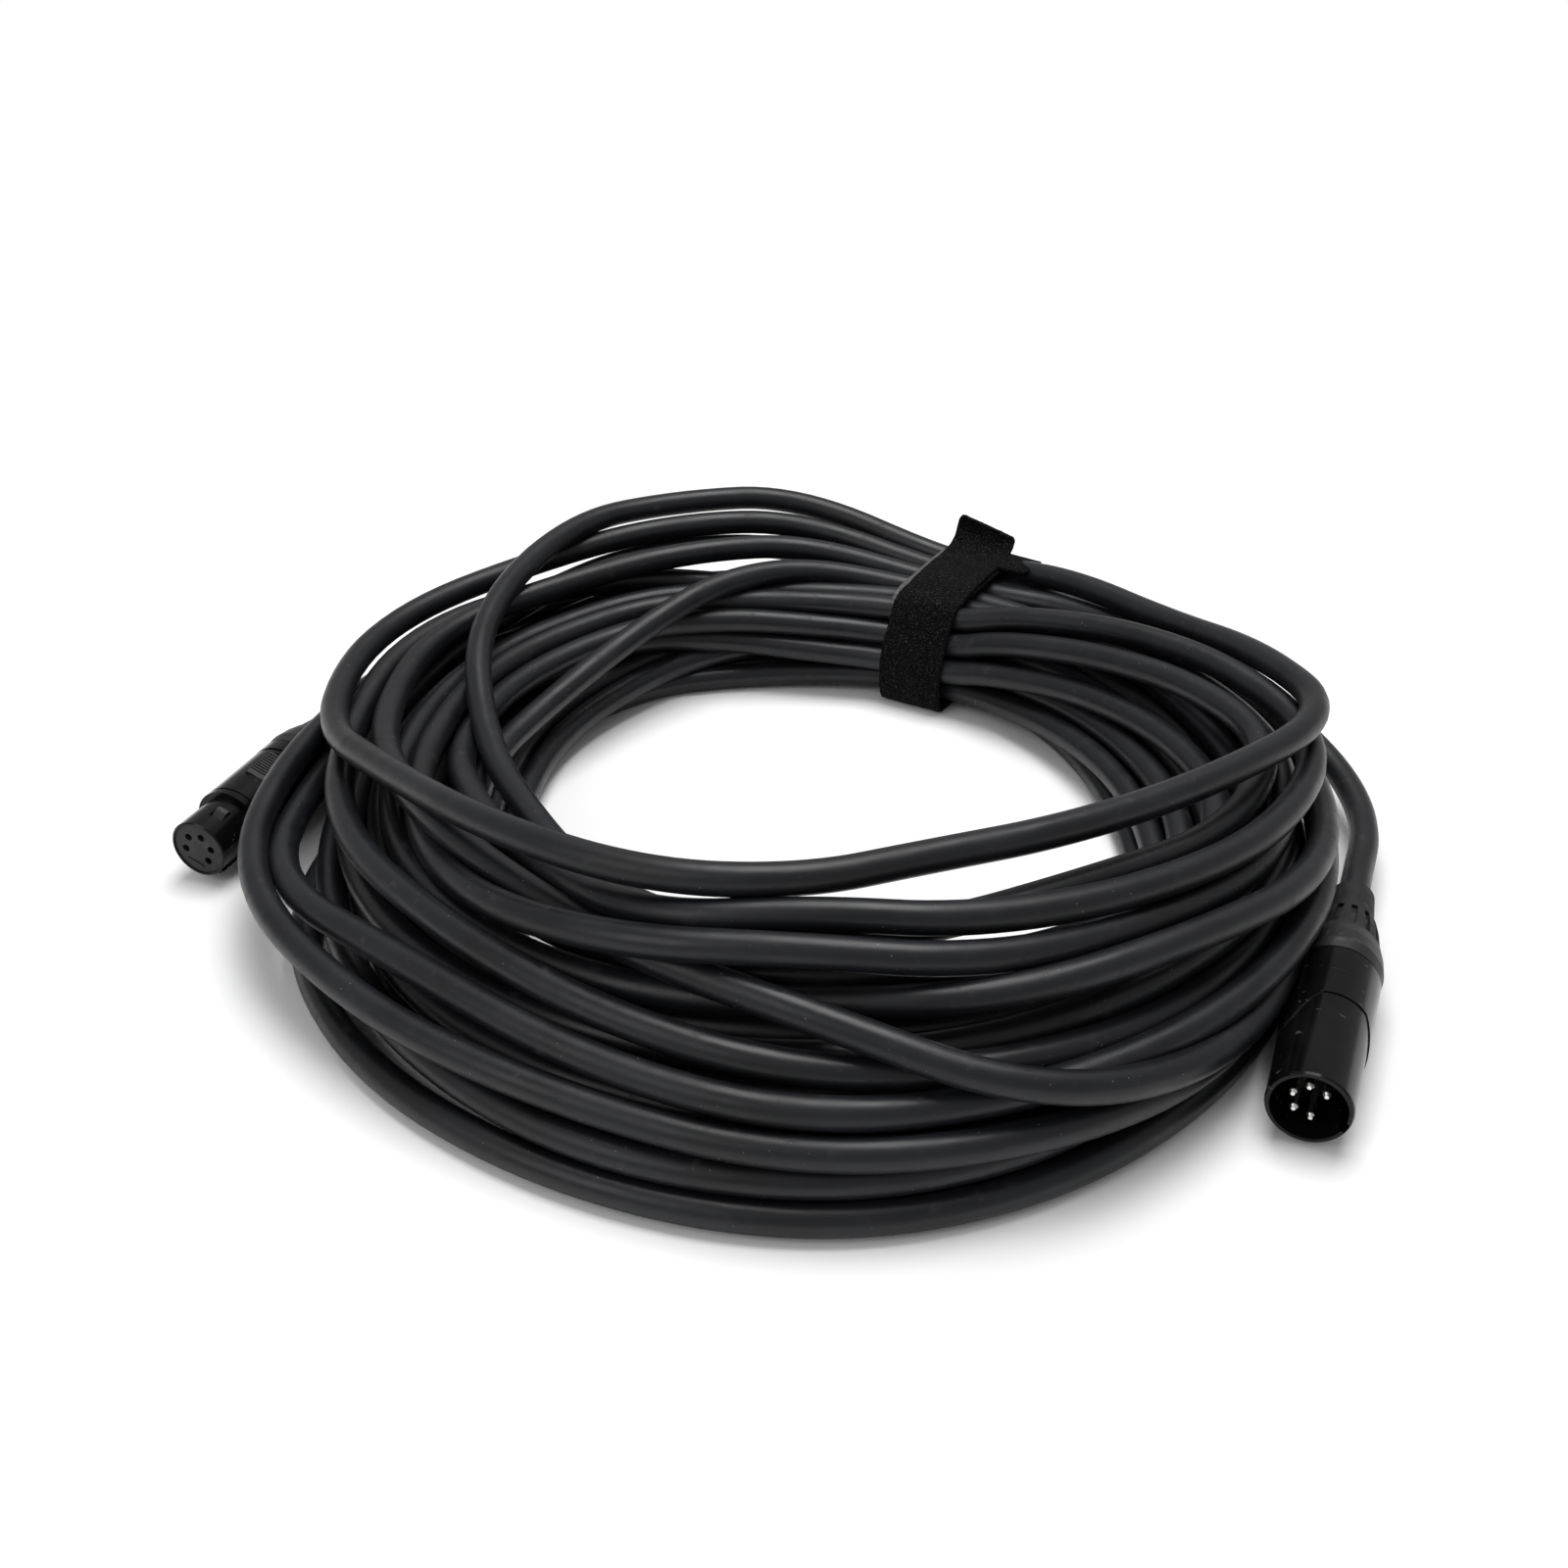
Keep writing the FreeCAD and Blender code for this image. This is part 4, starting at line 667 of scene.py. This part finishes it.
        # The cord's two ends lie in the connectors, so only the rest is pushed out of them.
        margin = (held + self.along) * self.samples
        inner = np.zeros(len(weights))
        inner[margin:-margin] = 1
        points = places.copy()
        rest_bend = self.bend(places)
        for number in range(self.rounds):
            line = weights @ points
            if number % self.renewal == 0:
                first, second = self.neighbours(line, self.spacing + self.search)
            move = self.pushed_apart(line, first, second)
            move[:, 2] += np.maximum(self.lowest - line[:, 2], 0)
            for connector in (PLUG, SOCKET):
                move += self.off_connector(line, connector) * inner[:, None]
            pushed = (np.abs(move).sum(1) > 1e-9).astype(float)
            step = (weights.T @ move) / (weights.T @ pushed + self.calm)[:, None]
            points += self.ease * step * free[:, None]
            points += self.stiffness * (self.bend(points) - rest_bend) * free[:, None]
            fade = math.sqrt(1 - number / self.rounds)
            points += self.hold * fade * (places - points) * free[:, None]
            off = points - places
            far = np.linalg.norm(off, axis=1)
            over = far > self.furthest
            points[over] = places[over] + off[over] * (self.furthest / far[over])[:, None]
        return points

    @staticmethod
    def bend(points: np.ndarray) -> np.ndarray:
        """How far the middle of its two neighbours is from each point."""
        result = np.zeros_like(points)
        result[1:-1] = (points[:-2] + points[2:]) / 2 - points[1:-1]
        return result

    def pushed_apart(self, line: np.ndarray, first: np.ndarray, second: np.ndarray) -> np.ndarray:
        """The step that each sample takes away from the strands that it touches."""
        gap = line[first] - line[second]
        distance = np.linalg.norm(gap, axis=1)
        touching = distance < self.spacing
        one, two = first[touching], second[touching]
        near = np.maximum(distance[touching], TINY)
        push = gap[touching] * (0.5 * (self.spacing - near) / near)[:, None]
        move = np.zeros_like(line)
        np.add.at(move, one, push)
        np.add.at(move, two, -push)
        count = np.bincount(np.concatenate([one, two]), minlength=len(line))
        return move / np.maximum(count, 1)[:, None] ** self.crowding

    @staticmethod
    def off_connector(line: np.ndarray, connector: Connector) -> np.ndarray:
        """The step that each sample takes out of a connector's shell and boot."""
        move = np.zeros_like(line)
        parts = ((0.0, connector.shell_reach, connector.shell_clearance),
                 (connector.shell_reach, connector.boot_rear, connector.boot_clearance))
        for front, rear, clearance in parts:
            start, end = connector.at(front), connector.at(rear)
            along = end - start
            share = np.clip(((line - start) @ along) / (along @ along), 0, 1)
            away = line - (start + share[:, None] * along)
            distance = np.maximum(np.linalg.norm(away, axis=1), TINY)
            move += away * (np.maximum(clearance - distance, 0) / distance)[:, None]
        return move

    def control_points(self) -> np.ndarray:
        """The whole cord's control points, from inside the socket's boot to the plug's."""
        start, end = self.straight_run(SOCKET), self.straight_run(PLUG)
        places = np.vstack([start, SOCKET_TAIL, self.places(), PLUG_TAIL, end[::-1]])
        return self.settle(places, held=len(start))

    def straight_run(self, connector: Connector) -> list[np.ndarray]:
        """The points of the cable's run out of a connector, from inside its boot."""
        depths = (-connector.cable_inside, 0.0, *self.exits)
        return [connector.at(connector.boot_rear + depth) for depth in depths]


class Cable:
    """The one cord of the coil with its free tails."""

    def __init__(self, lay: CableLay) -> None:
        """Keeps the lay that gives the cord's points."""
        self.lay = lay

    def build(self, finish: bpy.types.Material) -> None:
        """Makes the cord, gives it its finish and hides the CAD pieces of the cable."""
        curve = bpy.data.curves.new("cable", "CURVE")
        curve.dimensions = "3D"
        curve.bevel_depth = 0.5 * self.lay.diameter * MM
        curve.bevel_resolution = 5
        curve.resolution_u = 10
        curve.use_fill_caps = True
        points = self.lay.control_points() * MM
        spline = curve.splines.new("NURBS")
        spline.points.add(len(points) - 1)
        for point, place in zip(spline.points, points):
            point.co = (*place, 1.0)
        spline.order_u = 3
        spline.use_endpoint_u = True
        cord = bpy.data.objects.new("cable", curve)
        bpy.context.scene.collection.objects.link(cord)
        curve.materials.append(finish)
        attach(cord, Body.CABLE_SET.value)
        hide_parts("cable_coil", "plug_tail", "socket_tail", "plug_cable_end",
                    "socket_cable_end")
        line = self.lay.spline(len(points)) @ points


@dataclass(frozen=True)
class Bundle:
    """Where the tie holds the coil, in millimetres: outward, up and along the strands.

    Attributes:
        x: Middle of the bundle on the plan.
        y: The same.
        heading: Direction of the strands.
        corners: Middles of the strands at the bundle's corners.
        softening: How many times the outline's corners are rounded.
        lowest: Least height of the outline over the floor.
    """

    x: float = 60
    y: float = 95
    heading: float = TIE_HEADING
    corners: tuple[Spot, ...] = ((-21.8, 4.6), (19.3, 5.5), (23.1, 13.5), (23, 28.5), (-15.4, 28),
                                 (-23.1, 14))
    softening: int = 3
    lowest: float = 1.9

    def at(self, out: float, height: float, along: float) -> Vector:
        """The point so far outward, up and along the strands, in metres."""
        turn = math.radians(self.heading)
        x = self.x + along * math.cos(turn) - out * math.sin(turn)
        y = self.y + along * math.sin(turn) + out * math.cos(turn)
        return Vector((x, y, height)) * MM

    def ring(self, count: int, gap: float) -> list[Spot]:
        """Points round the bundle at a gap from the middles of its corner strands."""
        middle = np.mean(self.corners, axis=0)
        corners = np.array(self.corners) - middle
        edges = np.roll(corners, -1, axis=0) - corners
        lengths = np.linalg.norm(edges, axis=1)
        normals = np.stack([edges[:, 1], -edges[:, 0]], axis=1) / lengths[:, None]
        reach = (normals * corners).sum(1) + gap
        angles = np.linspace(0, 2 * math.pi, count, endpoint=False)
        rays = np.stack([np.cos(angles), np.sin(angles)], axis=1)
        facing = rays @ normals.T
        distance = np.where(facing > TINY, reach / np.maximum(facing, TINY), np.inf).min(1)
        line = middle + rays * distance[:, None]
        for _ in range(self.softening):
            line = (np.roll(line, 1, axis=0) + 2 * line + np.roll(line, -1, axis=0)) / 4
        return [(float(out), float(max(height, self.lowest))) for out, height in line]


class Bench:
    """Modelling steps that the tie's pieces share."""

    @staticmethod
    def clear() -> None:
        """Leaves edit mode and selects nothing."""
        if bpy.context.object and bpy.context.object.mode != "OBJECT":
            bpy.ops.object.mode_set(mode="OBJECT")
        bpy.ops.object.select_all(action="DESELECT")

    @staticmethod
    def apply(piece: bpy.types.Object, kind: str, **settings: object) -> None:
        """Adds a modifier with its settings and applies it."""
        modifier = piece.modifiers.new(kind.lower(), kind)
        for name, value in settings.items():
            setattr(modifier, name, value)
        bpy.context.view_layer.objects.active = piece
        bpy.ops.object.modifier_apply(modifier=modifier.name)

    @staticmethod
    def fuzz(piece: bpy.types.Object, size: float, depth: float) -> None:
        """Roughens a piece's surface with soft noise of that size and depth, in millimetres."""
        texture = bpy.data.textures.new("nap", "CLOUDS")
        texture.noise_scale = size * MM
        texture.noise_depth = 2
        Bench.apply(piece, "DISPLACE", texture=texture, texture_coords="LOCAL",
                    strength=depth * MM, mid_level=0.5)

    @staticmethod
    def thicken(sheet: bpy.types.Object, thickness: float, side: float) -> None:
        """Rounds a sheet and gives it thickness, outward with side 1 and to both sides with 0."""
        Bench.apply(sheet, "SUBSURF", levels=2, render_levels=2)
        Bench.apply(sheet, "SOLIDIFY", thickness=thickness * MM, offset=side,
                    use_even_offset=True)
        Bench.outward(sheet)

    @staticmethod
    def outward(piece: bpy.types.Object) -> None:
        """Merges doubles, turns every face outward and shades it smooth."""
        Bench.clear()
        piece.select_set(True)
        bpy.context.view_layer.objects.active = piece
        bpy.ops.object.mode_set(mode="EDIT")
        bpy.ops.mesh.select_all(action="SELECT")
        bpy.ops.mesh.remove_doubles(threshold=0.01 * MM)
        bpy.ops.mesh.normals_make_consistent(inside=False)
        bpy.ops.object.mode_set(mode="OBJECT")
        bpy.ops.object.shade_smooth()


@dataclass
class TieBand:
    """The napped strap round the bundle, in millimetres.

    Attributes:
        bundle: Where it goes round.
        width: Width along the strands.
        thickness: Thickness with its nap.
        gap: From the corner strands' middles to the strap's inner face.
        sides: Vertices of its ring.
        rows: Steps across its width.
        swing: How far its ring swings along the strands.
        swing_rate: How fast it swings, in radians for each millimetre outward.
        nap: Size and depth of its nap.
    """

    bundle: Bundle
    width: float = 20.0
    thickness: float = 1.6
    gap: float = 4.4
    sides: int = 96
    rows: int = 10
    swing: float = 0.6
    swing_rate: float = 0.06
    nap: tuple[float, float] = (1.1, 0.55)

    def build(self, finish: bpy.types.Material) -> None:
        """Lays a circle on the bundle's outline and draws it out to the strap's width."""
        Bench.clear()
        # The circle's size is free, since each vertex then goes to its place on the outline.
        bpy.ops.mesh.primitive_circle_add(vertices=self.sides, radius=28 * MM,
                                          location=self.bundle.at(0, 17, 0))
        band = bpy.context.object
        band.name = band.data.name = "tie_strap"
        bpy.ops.object.transform_apply(location=True, rotation=True, scale=True)
        ring = self.bundle.ring(self.sides, self.gap)
        for vertex, (out, height) in zip(band.data.vertices, ring):
            along = self.swing * math.sin(self.swing_rate * out) - 0.5 * self.width
            vertex.co = self.bundle.at(out, height, along)
        bpy.ops.object.mode_set(mode="EDIT")
        bpy.ops.mesh.select_all(action="SELECT")
        step = self.bundle.at(0, 0, self.width / self.rows) - self.bundle.at(0, 0, 0)
        for _ in range(self.rows):
            bpy.ops.mesh.extrude_region_move(TRANSFORM_OT_translate={"value": step})
        bpy.ops.mesh.select_all(action="SELECT")
        bpy.ops.mesh.normals_make_consistent(inside=False)
        bpy.ops.object.mode_set(mode="OBJECT")
        Bench.thicken(band, self.thickness, side=1.0)
        Bench.fuzz(band, *self.nap)
        band.data.materials.append(finish)
        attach(band, Body.CABLE_SET.value)
        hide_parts("tie_band")
        log.info("tie_strap: %d faces", len(band.data.polygons))


@dataclass(frozen=True)
class Layer:
    """One layer of the strap's end, in millimetres.

    Attributes:
        name: Name of its mesh.
        profile: Its line over the bundle, to the free end.
        near: Where its width begins, along the strands.
        far: Where its width ends.
        rounding: How much narrower its free end is.
        droop: How far the free end's far corner hangs below the near one.
    """

    name: str
    profile: tuple[Spot, ...]
    near: float
    far: float
    rounding: float
    droop: float = 0

    def place(self, column: int, share: float) -> tuple[float, float, float]:
        """A point outward, up and along the strands; share is -1 at near and 1 at far."""
        out, height = self.profile[column]
        last = len(self.profile) - 1
        half = 0.5 * (self.far - self.near) - (0.5 * self.rounding if column == last else 0)
        fallen = self.droop * 0.5 * (1 + share) * (column / last) ** 4
        return out, height - fallen, 0.5 * (self.near + self.far) + share * half


@dataclass
class TieTab:
    """The strap's end on the band's top, in millimetres.

    Attributes:
        bundle: Where it lies.
        thickness: Thickness of one layer.
        across: Steps across each layer.
        nap: Size and depth of the nap.
        flap: The pressed run with its curled free tip.
        strip: The hooked strip that shows beside the flap.
        tail: The under layer that shows on the other side.
    """

    bundle: Bundle
    thickness: float = 1.1
    across: int = 8
    nap: tuple[float, float] = (1.1, 0.4)
    flap: Layer = Layer("tie_end", ((-16, 32.2), (-11, 34.2), (-5, 34.9), (1, 35.2), (7, 35.3),
                                    (13, 35.4), (18, 35.9), (21.6, 37.6), (23.8, 40.4), (24.6, 43),
                                    (24.2, 45.2)), near=-9.9, far=9.9, rounding=2.0, droop=4.5)
    strip: Layer = Layer("tie_hooks", ((20, 33.4), (12, 33.6), (4, 33.3), (-4, 33.1), (-12, 32.9),
                                       (-17, 31.6), (-20.4, 27.5)),
                         near=-12.6, far=-8.4, rounding=1.2)
    tail: Layer = Layer("tie_tail", ((12, 34.9), (17, 35.7), (22, 35.6), (25.5, 34.2), (28, 31.6)),
                        near=8.4, far=19.5, rounding=6.0, droop=2.5)

    def build(self, finish: bpy.types.Material, hooks: bpy.types.Material) -> None:
        """Shapes its three layers and joins them as one piece."""
        flap = self.sheet(self.flap, finish)
        Bench.fuzz(flap, *self.nap)
        strip = self.sheet(self.strip, hooks)
        tail = self.sheet(self.tail, finish)
        Bench.clear()
        for sheet in (strip, tail, flap):
            sheet.select_set(True)
        bpy.context.view_layer.objects.active = flap
        bpy.ops.object.join()
        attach(flap, Body.CABLE_SET.value)
        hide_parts("tie_hook_tab")
        log.info("tie_end: %d faces", len(flap.data.polygons))

    def sheet(self, layer: Layer, finish: bpy.types.Material) -> bpy.types.Object:
        """Lays a grid as a layer and gives it its thickness and finish."""
        Bench.clear()
        columns = len(layer.profile)
        bpy.ops.mesh.primitive_grid_add(x_subdivisions=columns - 1, y_subdivisions=self.across,
                                        size=20 * MM, location=self.bundle.at(*layer.profile[0], 0))
        sheet = bpy.context.object
        sheet.name = sheet.data.name = layer.name
        bpy.ops.object.transform_apply(location=True, rotation=True, scale=True)
        for number, vertex in enumerate(sheet.data.vertices):
            share = 2 * (number // columns) / self.across - 1
            vertex.co = self.bundle.at(*layer.place(number % columns, share))
        bpy.ops.object.mode_set(mode="EDIT")
        bpy.ops.mesh.select_all(action="SELECT")
        bpy.ops.mesh.normals_make_consistent(inside=False)
        bpy.ops.object.mode_set(mode="OBJECT")
        Bench.thicken(sheet, self.thickness, side=0.0)
        sheet.data.materials.append(finish)
        return sheet


class Dressing:
    """Gives every CAD node its finish."""

    def __init__(self) -> None:
        """Makes each finish once."""
        self.materials = {finish.slot: finish.value.material() for finish in Finishes}

    def dress(self) -> None:
        """Assigns the finishes to the slots of the CAD nodes, by the slots' names."""
        for name, node in sorted(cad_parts.items()):
            for slot in node.material_slots:
                slot.material = self.materials[slot.material.name.split(".")[0]]
            log.info("%s: %s", name, node.material_slots[0].material.name)


@dataclass(frozen=True)
class SoftBox:
    """A square lamp over the set, in metres and watts."""

    name: str
    place: tuple[float, float, float]
    size: float
    power: float


@dataclass
class Studio:
    """Camera, lamps, floor and backdrop, in metres.

    Attributes:
        viewpoint: Where the camera is.
        downward: How far the camera looks down, in degrees.
        sensor: Width of the camera's sensor, in millimetres.
        focal_pixels: Focal length, in pixels of the photograph.
        frame_pixels: Width of the photograph, in pixels.
        aim: What the soft boxes point at.
        floor_shade: Brightness of the floor's surface.
        floor_fade: Distances between which the floor turns into the white backdrop.
        surround: Strength of the even light from all round.
        boxes: The soft boxes.
    """

    viewpoint: tuple[float, float, float] = (0.007, -0.398, 0.255)
    downward: float = 31
    sensor: float = 36.0
    focal_pixels: int = 1747
    frame_pixels: int = 1600
    aim: tuple[float, float, float] = (0, 0, 0.03)
    floor_shade: float = 0.96
    floor_fade: tuple[float, float] = (0.19, 0.4)
    surround: float = 0.4
    boxes: tuple[SoftBox, ...] = (SoftBox("key", (0.12, 0.25, 1.25), 0.8, 14.0),
                                  SoftBox("fill", (-0.8, -0.7, 0.8), 0.7, 3.0))

    def build(self) -> None:
        """Makes the whole stage."""
        self.camera()
        self.floor()
        self.world()
        for box in self.boxes:
            self.lamp(box)

    def camera(self) -> None:
        """Puts the camera where the photograph was taken from."""
        data = bpy.data.cameras.new("camera")
        data.sensor_width = self.sensor
        data.lens = self.sensor * self.focal_pixels / self.frame_pixels
        data.clip_start, data.clip_end = 0.01, 50
        camera = bpy.data.objects.new("camera", data)
        camera.location = self.viewpoint
        camera.rotation_euler = (math.radians(90 - self.downward), 0, 0)
        bpy.context.scene.collection.objects.link(camera)
        bpy.context.scene.camera = camera

    def floor(self) -> None:
        """Lays the pale floor, which turns into a white backdrop away from the object."""
        Bench.clear()
        bpy.ops.mesh.primitive_plane_add(size=12, location=(0, 0, 0))
        floor = bpy.context.object
        floor.name = "floor"
        graph = Graph("pale_floor")
        graph.shader.inputs["Base Color"].default_value = (*[self.floor_shade] * 3, 1)
        graph.shader.inputs["Roughness"].default_value = 0.95
        graph.shader.inputs["Specular IOR Level"].default_value = 0.1
        away = graph.nodes.new("ShaderNodeVectorMath")
        away.operation = "LENGTH"
        graph.links.new(graph.place, away.inputs[0])
        far = graph.between(away.outputs["Value"], *self.floor_fade)
        path = graph.nodes.new("ShaderNodeLightPath")
        seen = graph.joined("MAXIMUM", path.outputs["Is Camera Ray"],
                            path.outputs["Is Glossy Ray"])
        backdrop = graph.nodes.new("ShaderNodeEmission")
        blend = graph.nodes.new("ShaderNodeMixShader")
        graph.links.new(graph.joined("MULTIPLY", far, seen), blend.inputs[0])
        graph.links.new(graph.shader.outputs[0], blend.inputs[1])
        graph.links.new(backdrop.outputs[0], blend.inputs[2])
        graph.links.new(blend.outputs[0], graph.nodes["Material Output"].inputs["Surface"])
        floor.data.materials.append(graph.material)

    def world(self) -> None:
        """Sets a white surround that lights the object evenly."""
        world = bpy.data.worlds.new("studio")
        world.use_nodes = True
        nodes, links = world.node_tree.nodes, world.node_tree.links
        background = nodes["Background"]
        background.inputs["Color"].default_value = (1, 1, 1, 1)
        path = nodes.new("ShaderNodeLightPath")
        strength = nodes.new("ShaderNodeMapRange")
        strength.inputs["To Min"].default_value = self.surround
        strength.inputs["To Max"].default_value = 1.0
        links.new(path.outputs["Is Camera Ray"], strength.inputs["Value"])
        links.new(strength.outputs["Result"], background.inputs["Strength"])
        bpy.context.scene.world = world
        bpy.context.scene.view_settings.view_transform = "Standard"

    def lamp(self, box: SoftBox) -> None:
        """Hangs a soft box and points it at the coil."""
        data = bpy.data.lights.new(box.name, "AREA")
        data.size = box.size
        data.energy = box.power
        lamp = bpy.data.objects.new(box.name, data)
        lamp.location = box.place
        direction = Vector(self.aim) - Vector(box.place)
        lamp.rotation_euler = direction.to_track_quat("-Z", "Y").to_euler()
        bpy.context.scene.collection.objects.link(lamp)


def main() -> None:
    """Builds the stage and the pieces in order."""
    logging.basicConfig(level=logging.INFO, format="%(name)s: %(message)s")
    Studio().build()
    dressing = Dressing()
    dressing.dress()
    Cable(CableLay()).build(dressing.materials["cable_jacket"])
    bundle = Bundle()
    TieBand(bundle).build(dressing.materials["tie_fabric"])
    TieTab(bundle).build(dressing.materials["tie_fabric"], dressing.materials["tie_hooks"])


if __name__ == "__main__":
    main()
